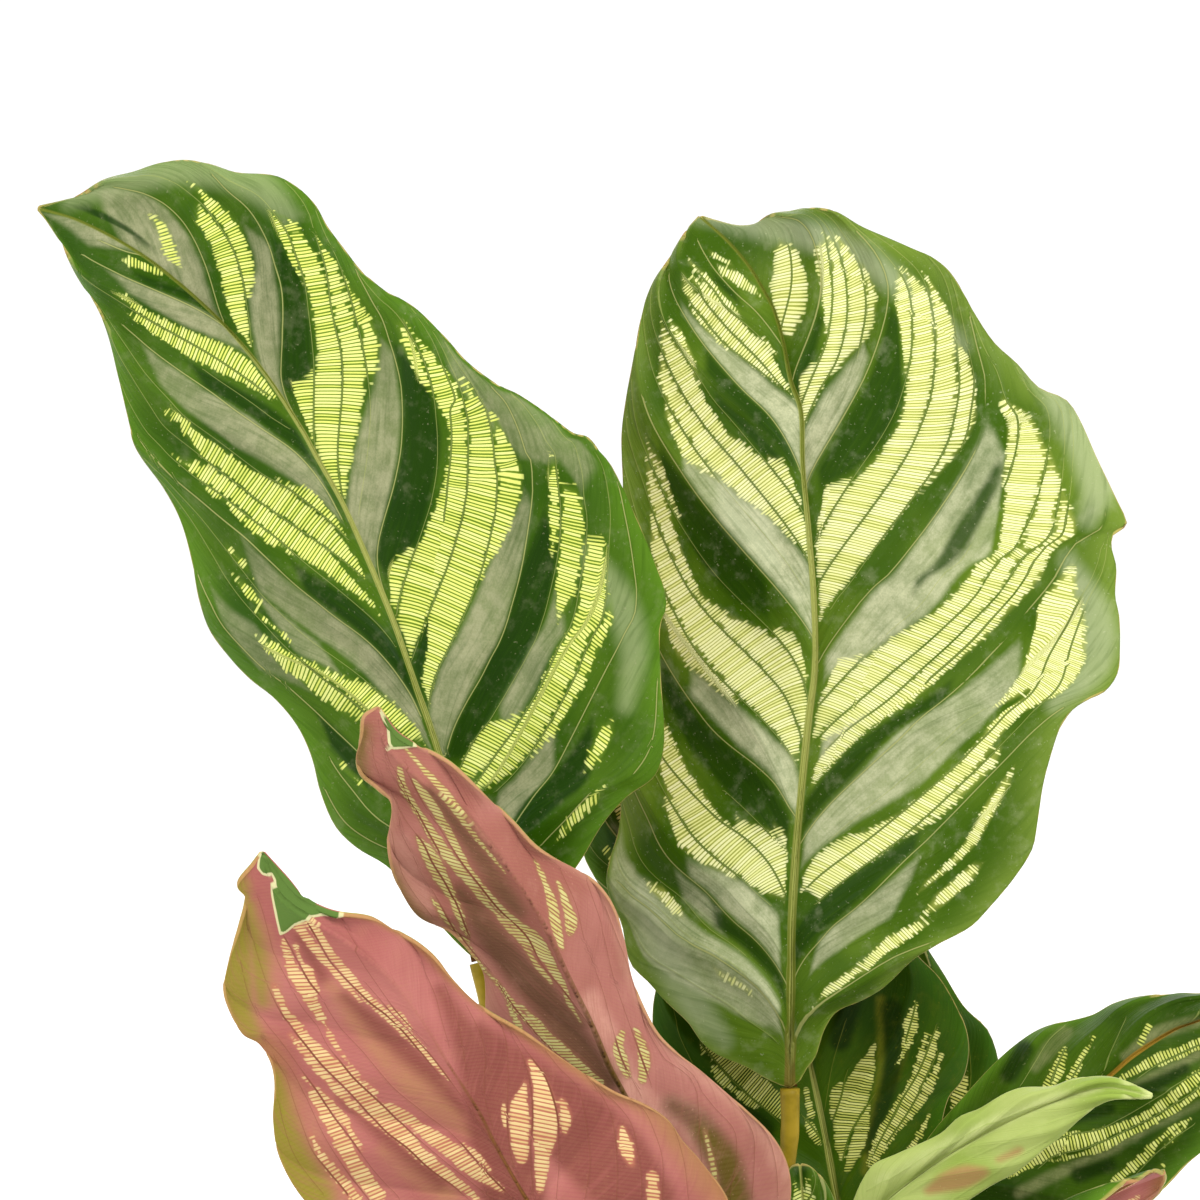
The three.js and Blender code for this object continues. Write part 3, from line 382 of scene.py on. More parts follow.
        droop=[0, -4, -8, -9, -7, -3, 0], pleat=1.5, soil_spot=[21, -19], stalk_via=[[23, -22, 125]],
    ),
    "left_side": arch_leaf(
        foot=[-46, 12, 158], azimuth=176, length=95, width=54, start_tilt=30, end_tilt=-50, pleat=1.5,
        soil_spot=[-27, 8], stalk_via=[[-31, 9, 135]],
    ),
    "left_back": arch_leaf(
        foot=[-30, 46, 165], azimuth=128, length=102, width=58, start_tilt=32, end_tilt=-48, pleat=1.6,
        soil_spot=[-15, 22], stalk_via=[[-18, 27, 130]],
    ),
    "back_side": arch_leaf(
        foot=[6, 62, 178], azimuth=82, length=108, width=60, start_tilt=36, end_tilt=-46, pleat=1.6,
        soil_spot=[-5, 31], stalk_via=[[-3, 38, 130]],
    ),
    "right_back": arch_leaf(
        foot=[52, 42, 160], azimuth=34, length=100, width=56, start_tilt=30, end_tilt=-48, pleat=1.6,
        soil_spot=[25, 21], stalk_via=[[30, 26, 130]],
    ),
    "front_left": arch_leaf(
        foot=[-36, -42, 150], azimuth=232, length=96, width=54, start_tilt=26, end_tilt=-52, pleat=1.5,
        soil_spot=[-22, -15], stalk_via=[[-25, -20, 125]],
    ),
    "front": arch_leaf(
        foot=[10, -52, 150], azimuth=282, length=94, width=52, start_tilt=28, end_tilt=-52, pleat=1.5,
        soil_spot=[5, -26], stalk_via=[[6, -31, 125]],
    ),
}

# The pattern of the two tall leaves, on the left and right of the rib. A field is a list of stations
# [t, low, high]: t runs from the rib to the margin, low and high are places between the creases.
# Small veins and crease lines are lists of [t, place]
BANDS = {
    "tall_left": [
        [
            [[0.1, 5.33, 5.38], [0.18, 5.32, 5.45], [0.28, 5.36, 5.42]],
            [[0.07, 4.55, 4.8], [0.2, 4.63, 4.83], [0.33, 4.74, 4.87], [0.45, 4.82, 4.93],
             [0.55, 4.88, 5.02], [0.62, 4.95, 5.01]],
            [[0.13, 4.53, 4.57], [0.25, 4.56, 4.68], [0.38, 4.6, 4.77], [0.48, 4.67, 4.84],
             [0.55, 4.74, 4.87], [0.62, 4.76, 4.8]],
            [[0.12, 3.76, 3.84], [0.16, 3.76, 3.93], [0.2, 3.77, 3.95], [0.27, 3.79, 3.87],
             [0.32, 3.79, 3.82]],
            [[0.11, 3.51, 3.62], [0.16, 3.5, 3.74], [0.3, 3.5, 3.78], [0.45, 3.49, 3.75], [0.55, 3.5, 3.82],
             [0.6, 3.54, 3.98], [0.63, 3.56, 3.8]],
            [[0.58, 3.93, 3.96], [0.61, 3.88, 3.99], [0.66, 3.84, 3.9]],
            [[0.13, 3.28, 3.34], [0.2, 3.25, 3.38], [0.24, 3.24, 3.47], [0.4, 3.24, 3.47], [0.6, 3.27, 3.5],
             [0.7, 3.25, 3.45], [0.76, 3.26, 3.35]],
            [[0.42, 3.2, 3.25], [0.5, 3.14, 3.26], [0.56, 3.12, 3.26], [0.63, 3.2, 3.26],
             [0.7, 3.15, 3.22]],
            [[0.15, 2.38, 2.43], [0.22, 2.22, 2.42], [0.3, 2.1, 2.34], [0.36, 2.07, 2.29],
             [0.42, 1.97, 2.22], [0.5, 1.93, 2.13], [0.6, 1.94, 2.06], [0.64, 2.0, 2.06]],
            [[0.44, 1.9, 1.96], [0.5, 1.8, 1.92], [0.6, 1.7, 1.94], [0.66, 1.69, 2.1], [0.7, 1.7, 2.12],
             [0.74, 1.78, 2.06]],
            [[0.63, 2.46, 2.58], [0.67, 2.44, 2.62], [0.7, 2.5, 2.56]],
            [[0.62, 2.18, 2.3], [0.67, 2.3, 2.42]], [[0.63, 2.72, 2.8], [0.7, 2.74, 2.82]],
            [[0.63, 1.2, 1.28], [0.72, 1.22, 1.28]],
        ],
        [
            [[0.18, 6.24, 6.34], [0.4, 6.22, 6.32]],
            [[0.1, 5.64, 5.82], [0.16, 5.6, 5.94], [0.3, 5.59, 5.93], [0.42, 5.63, 5.92], [0.5, 5.68, 5.96],
             [0.56, 5.7, 5.88], [0.62, 5.72, 5.76]],
            [[0.31, 5.52, 5.6], [0.37, 5.42, 5.61], [0.44, 5.38, 5.64], [0.55, 5.44, 5.68],
             [0.65, 5.47, 5.7], [0.72, 5.55, 5.64]],
            [[0.06, 4.78, 4.82], [0.13, 4.78, 4.95], [0.17, 4.78, 4.97], [0.22, 4.78, 4.89],
             [0.3, 4.78, 4.8]],
            [[0.59, 4.78, 4.8], [0.63, 4.8, 4.96], [0.67, 4.84, 5.0], [0.72, 4.93, 4.98], [0.76, 4.7, 4.8]],
            [[0.03, 4.52, 4.72], [0.15, 4.55, 4.78], [0.3, 4.56, 4.78], [0.4, 4.56, 4.73],
             [0.55, 4.57, 4.73], [0.62, 4.56, 4.78], [0.7, 4.56, 4.9], [0.76, 4.58, 4.8]],
            [[0.05, 4.47, 4.52], [0.2, 4.44, 4.55], [0.4, 4.4, 4.56], [0.5, 4.38, 4.57], [0.65, 4.4, 4.56],
             [0.84, 4.37, 4.55]],
            [[0.5, 4.34, 4.38], [0.58, 4.28, 4.4], [0.66, 4.25, 4.4], [0.78, 4.27, 4.38],
             [0.84, 4.32, 4.36]],
            [[0.05, 3.83, 3.9], [0.1, 3.83, 4.0], [0.15, 3.83, 3.96], [0.23, 3.83, 3.86]],
            [[0.68, 3.85, 4.0], [0.72, 3.86, 4.08], [0.79, 3.95, 4.08], [0.83, 3.98, 4.02]],
            [[0.05, 3.57, 3.8], [0.15, 3.53, 3.82], [0.32, 3.54, 3.8], [0.45, 3.58, 3.77],
             [0.6, 3.62, 3.77], [0.68, 3.61, 3.84], [0.76, 3.58, 3.9], [0.82, 3.58, 3.95]],
            [[0.07, 3.25, 3.38], [0.14, 3.25, 3.42], [0.19, 3.25, 3.52], [0.35, 3.26, 3.54],
             [0.5, 3.33, 3.6], [0.62, 3.4, 3.62], [0.75, 3.41, 3.59], [0.86, 3.4, 3.5]],
            [[0.4, 3.25, 3.28], [0.5, 3.2, 3.34], [0.62, 3.17, 3.4], [0.7, 3.24, 3.42], [0.78, 3.34, 3.4]],
            [[0.62, 2.68, 2.75], [0.66, 2.68, 2.9], [0.72, 2.8, 3.0], [0.77, 2.86, 2.95]],
            [[0.13, 2.52, 2.57], [0.2, 2.26, 2.53], [0.28, 2.15, 2.46], [0.34, 2.1, 2.32],
             [0.41, 2.06, 2.12]],
            [[0.57, 2.3, 2.45], [0.62, 2.26, 2.6], [0.68, 2.27, 2.7], [0.74, 2.34, 2.82],
             [0.78, 2.42, 2.6]],
            [[0.21, 2.12, 2.18], [0.28, 1.94, 2.14], [0.36, 1.82, 2.1], [0.48, 1.79, 2.03],
             [0.6, 1.8, 2.12], [0.68, 1.86, 2.26], [0.74, 1.93, 2.32], [0.79, 1.98, 2.1]],
            [[0.44, 1.74, 1.78], [0.52, 1.68, 1.79], [0.64, 1.69, 1.82], [0.74, 1.76, 1.9]],
            [[0.63, 1.27, 1.38], [0.68, 1.25, 1.42], [0.72, 1.3, 1.38]],
            [[0.69, 0.75, 0.9], [0.74, 0.75, 1.02], [0.79, 0.82, 0.9]],
        ],
    ],
    "tall_right": [
        [
            [[0.12, 6.3, 6.36], [0.2, 6.28, 6.44], [0.34, 6.32, 6.42]],
            [[0.25, 6.48, 6.52], [0.38, 6.5, 6.56]],
            [[0.07, 5.6, 5.68], [0.15, 5.61, 5.84], [0.25, 5.68, 5.88], [0.33, 5.73, 5.98],
             [0.4, 5.78, 6.03], [0.5, 5.94, 6.14]],
            [[0.32, 5.98, 6.02], [0.4, 6.04, 6.15], [0.48, 6.13, 6.25], [0.51, 6.17, 6.23]],
            [[0.12, 5.85, 5.88], [0.16, 5.85, 5.93], [0.2, 5.85, 5.88]],
            [[0.53, 6.17, 6.25], [0.62, 6.2, 6.27]], [[0.45, 5.98, 6.06], [0.57, 6.02, 6.1]],
            [[0.57, 5.87, 5.97], [0.64, 5.92, 6.0]],
            [[0.14, 5.58, 5.63], [0.25, 5.56, 5.67], [0.4, 5.55, 5.78], [0.5, 5.64, 5.95],
             [0.63, 5.8, 5.95]],
            [[0.4, 5.5, 5.55], [0.5, 5.52, 5.64], [0.57, 5.6, 5.7]],
            [[0.07, 4.78, 4.84], [0.15, 4.78, 4.93], [0.24, 4.79, 4.84]],
            [[0.54, 4.9, 4.93], [0.6, 4.94, 5.1], [0.65, 4.96, 5.2], [0.71, 4.97, 5.12]],
            [[0.04, 4.53, 4.74], [0.15, 4.52, 4.78], [0.27, 4.53, 4.78], [0.36, 4.54, 4.74],
             [0.43, 4.55, 4.7], [0.5, 4.56, 4.78], [0.57, 4.6, 4.92], [0.66, 4.66, 4.97],
             [0.76, 4.72, 4.95]],
            [[0.13, 4.48, 4.52], [0.22, 4.44, 4.53], [0.3, 4.4, 4.54], [0.4, 4.33, 4.55], [0.5, 4.3, 4.56],
             [0.62, 4.34, 4.65], [0.75, 4.43, 4.7]],
            [[0.48, 4.27, 4.3], [0.57, 4.16, 4.32], [0.63, 4.1, 4.36], [0.7, 4.25, 4.4]],
            [[0.08, 3.73, 3.8], [0.13, 3.72, 3.88], [0.18, 3.72, 3.85], [0.26, 3.7, 3.74]],
            [[0.65, 3.68, 3.72], [0.72, 3.72, 3.87], [0.79, 3.76, 3.84]],
            [[0.04, 3.48, 3.7], [0.2, 3.44, 3.72], [0.32, 3.4, 3.63], [0.45, 3.35, 3.48], [0.55, 3.33, 3.4],
             [0.6, 3.34, 3.45], [0.67, 3.38, 3.6], [0.73, 3.43, 3.72], [0.8, 3.52, 3.72]],
            [[0.08, 3.32, 3.45], [0.12, 3.23, 3.45], [0.2, 3.19, 3.44], [0.3, 3.13, 3.4],
             [0.45, 3.05, 3.35], [0.6, 3.03, 3.34], [0.72, 3.12, 3.42], [0.78, 3.22, 3.48]],
            [[0.43, 2.99, 3.04], [0.55, 2.92, 3.03], [0.67, 2.86, 3.07], [0.73, 2.97, 3.12]],
            [[0.1, 2.42, 2.7], [0.2, 2.42, 2.65], [0.28, 2.42, 2.55], [0.36, 2.38, 2.46]],
            [[0.11, 2.7, 2.78], [0.18, 2.68, 2.72]],
            [[0.11, 2.38, 2.44], [0.2, 2.26, 2.43], [0.3, 2.16, 2.42], [0.45, 2.14, 2.36],
             [0.6, 2.13, 2.38], [0.7, 2.16, 2.46], [0.76, 2.25, 2.48]],
            [[0.38, 2.1, 2.15], [0.5, 2.04, 2.14], [0.6, 2.02, 2.14], [0.7, 2.08, 2.16]],
            [[0.63, 1.25, 1.35], [0.68, 1.22, 1.48], [0.74, 1.3, 1.4]],
            [[0.42, 0.83, 0.9], [0.55, 0.84, 0.92]],
        ],
        [
            [[0.04, 6.24, 6.4], [0.12, 6.14, 6.43], [0.3, 6.09, 6.42], [0.4, 6.12, 6.42],
             [0.48, 6.22, 6.38]],
            [[0.03, 5.76, 5.82], [0.1, 5.72, 5.9], [0.19, 5.72, 5.78]],
            [[0.01, 5.58, 5.76], [0.08, 5.56, 5.77], [0.18, 5.54, 5.73], [0.3, 5.46, 5.7], [0.42, 5.5, 5.8],
             [0.55, 5.61, 5.86], [0.7, 5.69, 5.84]],
            [[0.32, 5.74, 5.8], [0.4, 5.77, 5.98], [0.5, 5.84, 6.05], [0.6, 5.85, 6.05], [0.69, 5.8, 5.86]],
            [[0.27, 5.45, 5.48], [0.37, 5.3, 5.47], [0.43, 5.2, 5.5], [0.55, 5.25, 5.62],
             [0.66, 5.32, 5.68], [0.75, 5.46, 5.64]],
            [[0.43, 5.18, 5.21], [0.5, 5.1, 5.25], [0.6, 5.12, 5.3], [0.68, 5.26, 5.33]],
            [[0.07, 4.67, 4.74], [0.13, 4.67, 4.84], [0.23, 4.67, 4.7]],
            [[0.05, 4.47, 4.66], [0.2, 4.44, 4.68], [0.35, 4.43, 4.6], [0.45, 4.42, 4.58],
             [0.55, 4.42, 4.65], [0.6, 4.43, 4.68], [0.7, 4.46, 4.76], [0.78, 4.56, 4.8]],
            [[0.55, 4.66, 4.7], [0.63, 4.69, 4.92], [0.7, 4.76, 4.9], [0.76, 4.82, 4.85]],
            [[0.05, 4.27, 4.46], [0.3, 4.23, 4.43], [0.5, 4.2, 4.42], [0.68, 4.22, 4.45],
             [0.83, 4.26, 4.6]],
            [[0.44, 4.18, 4.21], [0.55, 4.1, 4.2], [0.68, 4.03, 4.22], [0.8, 4.1, 4.24]],
            [[0.07, 3.76, 3.8], [0.12, 3.74, 3.9], [0.21, 3.74, 3.76]],
            [[0.06, 3.55, 3.75], [0.2, 3.5, 3.73], [0.3, 3.5, 3.68], [0.4, 3.48, 3.6], [0.5, 3.47, 3.57],
             [0.57, 3.5, 3.62], [0.65, 3.56, 3.76], [0.79, 3.61, 3.84]],
            [[0.64, 3.75, 3.79], [0.7, 3.77, 3.86], [0.75, 3.8, 3.9], [0.8, 3.84, 3.88]],
            [[0.11, 3.45, 3.52], [0.2, 3.36, 3.5], [0.28, 3.35, 3.5], [0.4, 3.38, 3.48], [0.58, 3.38, 3.5],
             [0.7, 3.43, 3.57], [0.8, 3.5, 3.61]],
            [[0.18, 3.3, 3.36], [0.3, 3.22, 3.36], [0.45, 3.27, 3.38], [0.6, 3.26, 3.38],
             [0.72, 3.26, 3.43], [0.79, 3.34, 3.48]],
            [[0.09, 3.22, 3.34], [0.2, 3.2, 3.35], [0.27, 3.22, 3.3]],
            [[0.09, 2.48, 2.6], [0.13, 2.4, 2.65], [0.2, 2.2, 2.62], [0.25, 2.2, 2.59], [0.33, 2.22, 2.5],
             [0.45, 2.25, 2.43], [0.6, 2.28, 2.45], [0.68, 2.32, 2.55]],
            [[0.66, 2.32, 2.55], [0.7, 2.36, 3.0], [0.76, 2.5, 3.05], [0.83, 2.7, 3.02]],
            [[0.62, 2.78, 2.92], [0.7, 2.82, 3.18], [0.78, 2.88, 3.18], [0.81, 3.0, 3.15]],
            [[0.47, 2.23, 2.26], [0.58, 2.19, 2.29], [0.73, 2.22, 2.34]],
            [[0.59, 1.72, 1.8], [0.66, 1.8, 1.92], [0.72, 1.88, 2.04], [0.8, 2.0, 2.1]],
            [[0.42, 1.06, 1.18], [0.55, 1.05, 1.2], [0.62, 1.1, 1.2]],
            [[0.6, 1.1, 1.4], [0.66, 1.06, 1.48], [0.71, 1.2, 1.4]],
            [[0.66, 1.5, 1.65], [0.72, 1.5, 1.75], [0.76, 1.6, 1.7]],
        ],
    ],
}
SMALL_VEINS = {
    "tall_left": [
        [
            [[0.12, 4.55], [0.2, 4.63], [0.3, 4.72], [0.45, 4.82], [0.63, 4.9]],
            [[0.12, 4.35], [0.2, 4.36], [0.36, 4.54]],
            [[0.1, 3.75], [0.2, 3.78], [0.3, 3.8], [0.4, 3.77], [0.48, 3.82], [0.55, 3.92], [0.62, 4.05],
             [0.7, 4.15], [0.78, 4.27]],
            [[0.12, 3.5], [0.4, 3.48], [0.55, 3.5], [0.62, 3.55], [0.66, 3.62], [0.7, 3.7], [0.75, 3.83],
             [0.82, 3.92], [0.9, 3.95]],
            [[0.1, 3.13], [0.25, 3.14], [0.37, 3.2], [0.45, 3.25], [0.65, 3.25], [0.73, 3.23], [0.78, 3.29],
             [0.81, 3.42]],
            [[0.28, 2.36], [0.34, 2.3], [0.45, 2.28], [0.5, 2.3], [0.55, 2.4], [0.6, 2.57], [0.66, 2.7],
             [0.76, 2.77], [0.88, 2.8]],
            [[0.38, 1.98], [0.45, 1.93], [0.6, 1.93], [0.64, 2.03], [0.66, 2.15], [0.69, 2.35],
             [0.75, 2.47], [0.83, 2.58], [0.92, 2.65]],
        ],
        [
            [[0.1, 5.62], [0.2, 5.57], [0.3, 5.58], [0.4, 5.62], [0.5, 5.68], [0.6, 5.7], [0.65, 5.78],
             [0.73, 5.86]],
            [[0.03, 4.78], [0.3, 4.78], [0.5, 4.77], [0.62, 4.78], [0.67, 4.85], [0.73, 4.96]],
            [[0.0, 4.49], [0.15, 4.55], [0.4, 4.56], [0.6, 4.57], [0.78, 4.54]],
            [[0.08, 4.33], [0.4, 4.33], [0.5, 4.37], [0.6, 4.4], [0.85, 4.35]],
            [[0.04, 3.82], [0.4, 3.83], [0.55, 3.86], [0.7, 3.85], [0.75, 3.88], [0.8, 3.97], [0.85, 4.02]],
            [[0.37, 3.7], [0.45, 3.74], [0.57, 3.75], [0.67, 3.73], [0.75, 3.65]],
            [[0.04, 3.55], [0.1, 3.53], [0.3, 3.53], [0.4, 3.56], [0.5, 3.6], [0.6, 3.62], [0.7, 3.6],
             [0.85, 3.56]],
            [[0.05, 3.25], [0.3, 3.25], [0.4, 3.27], [0.5, 3.33], [0.6, 3.4], [0.7, 3.42], [0.88, 3.4]],
            [[0.12, 2.57], [0.18, 2.55], [0.25, 2.5], [0.32, 2.42], [0.47, 2.39], [0.52, 2.5], [0.65, 2.65],
             [0.7, 2.75], [0.74, 2.86], [0.8, 2.88]],
            [[0.2, 2.17], [0.3, 2.13], [0.38, 2.07], [0.48, 2.03], [0.55, 2.05], [0.6, 2.13], [0.65, 2.22],
             [0.72, 2.29], [0.77, 2.35], [0.81, 2.47]],
            [[0.3, 1.8], [0.42, 1.78], [0.6, 1.79], [0.68, 1.85], [0.73, 1.92], [0.8, 1.98], [0.88, 2.0]],
        ],
    ],
    "tall_right": [
        [
            [[0.08, 5.57], [0.2, 5.65], [0.3, 5.7], [0.38, 5.75], [0.47, 5.87], [0.54, 6.03]],
            [[0.2, 5.9], [0.38, 6.0], [0.43, 6.1], [0.52, 6.18]],
            [[0.18, 5.57], [0.4, 5.55], [0.47, 5.6], [0.58, 5.73]],
            [[0.04, 4.78], [0.2, 4.78], [0.35, 4.8], [0.45, 4.85], [0.55, 4.93], [0.72, 4.98]],
            [[0.02, 4.52], [0.2, 4.52], [0.4, 4.55], [0.5, 4.56], [0.6, 4.64], [0.8, 4.74]],
            [[0.1, 4.27], [0.4, 4.27], [0.57, 4.3], [0.68, 4.38], [0.85, 4.43]],
            [[0.04, 3.72], [0.2, 3.72], [0.4, 3.65], [0.5, 3.63], [0.6, 3.65], [0.7, 3.69], [0.81, 3.77]],
            [[0.03, 3.46], [0.2, 3.44], [0.3, 3.4], [0.5, 3.33], [0.6, 3.33], [0.72, 3.42], [0.84, 3.55]],
            [[0.08, 3.25], [0.2, 3.18], [0.3, 3.12], [0.45, 3.04], [0.6, 3.02], [0.7, 3.1], [0.82, 3.22]],
            [[0.1, 2.44], [0.3, 2.42], [0.45, 2.34], [0.6, 2.3], [0.78, 2.3]],
            [[0.2, 2.2], [0.3, 2.15], [0.5, 2.13], [0.68, 2.14], [0.82, 2.2]], [[0.2, 2.62], [0.45, 2.5]],
            [[0.38, 1.3], [0.55, 1.4], [0.65, 1.5]], [[0.4, 1.0], [0.7, 1.15]],
            [[0.3, 0.5], [0.65, 0.68], [0.92, 0.88]],
        ],
        [
            [[0.02, 6.27], [0.3, 6.26], [0.5, 6.3]],
            [[0.0, 5.78], [0.12, 5.73], [0.27, 5.7], [0.37, 5.76], [0.48, 5.83], [0.6, 5.87], [0.75, 5.84]],
            [[0.0, 5.57], [0.17, 5.55], [0.3, 5.46], [0.36, 5.46], [0.47, 5.56], [0.55, 5.62], [0.8, 5.72]],
            [[0.4, 5.18], [0.5, 5.25], [0.6, 5.32], [0.72, 5.34]],
            [[0.04, 4.68], [0.25, 4.68], [0.4, 4.65], [0.5, 4.65], [0.6, 4.68], [0.7, 4.77], [0.78, 4.86]],
            [[0.02, 4.46], [0.3, 4.43], [0.55, 4.42], [0.68, 4.45], [0.74, 4.5], [0.85, 4.68]],
            [[0.1, 4.22], [0.3, 4.23], [0.5, 4.2], [0.65, 4.2], [0.86, 4.26]], [[0.56, 4.09], [0.8, 4.08]],
            [[0.06, 3.75], [0.2, 3.74], [0.3, 3.72], [0.4, 3.69], [0.5, 3.74], [0.62, 3.75], [0.7, 3.78],
             [0.82, 3.87]],
            [[0.1, 3.5], [0.3, 3.5], [0.5, 3.47], [0.58, 3.5], [0.62, 3.55], [0.7, 3.57], [0.83, 3.63]],
            [[0.14, 3.35], [0.28, 3.35], [0.38, 3.38], [0.58, 3.38], [0.68, 3.42], [0.82, 3.5]],
            [[0.4, 3.3], [0.65, 3.32], [0.78, 3.41]],
            [[0.12, 2.44], [0.3, 2.42], [0.55, 2.44], [0.67, 2.5], [0.69, 2.62], [0.69, 2.75],
             [0.73, 2.95]],
            [[0.18, 2.2], [0.3, 2.21], [0.45, 2.25], [0.65, 2.3], [0.77, 2.36], [0.78, 2.5], [0.76, 2.62],
             [0.8, 2.9]],
            [[0.2, 2.67], [0.5, 2.67], [0.6, 2.82]],
        ],
    ],
}
CREASE_LINES = {
    "tall_left": [
        [
            [[0.03, 5.0], [0.15, 5.08], [0.33, 5.17], [0.42, 5.22], [0.5, 5.3], [0.62, 5.42]],
            [[0.0, 5.48], [0.15, 5.5], [0.25, 5.6]],
            [[0.08, 3.9], [0.1, 4.08], [0.14, 4.16], [0.28, 4.2], [0.34, 4.25], [0.4, 4.36], [0.48, 4.43],
             [0.57, 4.5], [0.65, 4.56], [0.72, 4.58]],
            [[0.08, 2.7], [0.12, 2.81], [0.35, 2.83], [0.43, 2.9], [0.5, 2.98], [0.6, 3.02], [0.75, 2.98],
             [0.86, 2.98], [0.92, 3.2]],
            [[0.2, 1.7], [0.5, 1.5], [0.7, 1.48], [0.78, 1.53], [0.82, 1.65], [0.86, 1.88], [0.9, 2.03],
             [0.96, 2.1]],
            [[0.3, 0.9], [0.62, 1.0], [0.7, 1.12], [0.8, 1.2]], [[0.75, 0.72], [0.85, 0.82], [0.92, 0.95]],
        ],
        [
            [[0.04, 6.04], [0.3, 6.05], [0.45, 6.07], [0.6, 6.22], [0.75, 6.28]],
            [[0.03, 5.0], [0.06, 5.09], [0.12, 5.12], [0.2, 5.08], [0.3, 5.02], [0.4, 4.99], [0.5, 4.99],
             [0.55, 5.08], [0.65, 5.2], [0.75, 5.23], [0.88, 5.17]],
            [[0.01, 3.9], [0.04, 4.07], [0.1, 4.12], [0.3, 4.11], [0.58, 4.11], [0.65, 4.15], [0.72, 4.18],
             [0.95, 4.13]],
            [[0.02, 3.2], [0.05, 2.92], [0.15, 2.88], [0.25, 2.83], [0.32, 2.8], [0.37, 2.83], [0.45, 2.92],
             [0.55, 3.02], [0.65, 3.1], [0.8, 3.17], [0.95, 3.14]],
            [[0.4, 1.15], [0.43, 1.2], [0.47, 1.3], [0.5, 1.45], [0.57, 1.55], [0.7, 1.6], [0.8, 1.62],
             [0.84, 1.71], [0.93, 1.86], [0.98, 1.9]],
            [[0.6, 0.82], [0.68, 0.88], [0.72, 1.0]], [[0.84, 1.0], [0.9, 1.04], [0.97, 1.2]],
        ],
    ],
    "tall_right": [
        [
            [[0.05, 6.0], [0.1, 6.03], [0.2, 6.12], [0.27, 6.18], [0.33, 6.25], [0.4, 6.35], [0.48, 6.5],
             [0.55, 6.62]],
            [[0.03, 5.02], [0.1, 5.06], [0.2, 5.12], [0.33, 5.2], [0.5, 5.3], [0.57, 5.37], [0.67, 5.52],
             [0.8, 5.67]],
            [[0.02, 4.1], [0.1, 4.05], [0.2, 4.01], [0.4, 3.98], [0.6, 3.98], [0.85, 4.02]],
            [[0.02, 3.05], [0.1, 2.97], [0.2, 2.92], [0.3, 2.85], [0.45, 2.75], [0.55, 2.72], [0.72, 2.76],
             [0.85, 2.85]],
            [[0.05, 1.78], [0.15, 1.69], [0.3, 1.68], [0.45, 1.73], [0.57, 1.8], [0.75, 1.87],
             [0.92, 1.92]],
            [[0.05, 0.95], [0.4, 0.98], [0.9, 1.1]],
        ],
        [
            [[0.03, 6.0], [0.4, 5.99], [0.7, 6.06], [0.9, 6.1]],
            [[0.02, 5.03], [0.3, 5.0], [0.6, 4.97], [0.9, 4.98]],
            [[0.02, 4.06], [0.3, 4.03], [0.5, 4.0], [0.7, 3.98], [0.95, 3.99]],
            [[0.04, 2.93], [0.15, 2.96], [0.3, 2.97], [0.4, 3.0], [0.45, 3.11], [0.5, 3.15], [0.6, 3.18],
             [0.92, 3.22]],
            [[0.04, 1.73], [0.2, 1.76], [0.25, 1.78], [0.3, 1.85], [0.38, 1.9], [0.45, 2.0], [0.52, 2.1],
             [0.7, 2.18], [0.92, 2.24]],
            [[0.05, 0.95], [0.4, 1.0], [0.9, 1.1]],
        ],
    ],
}
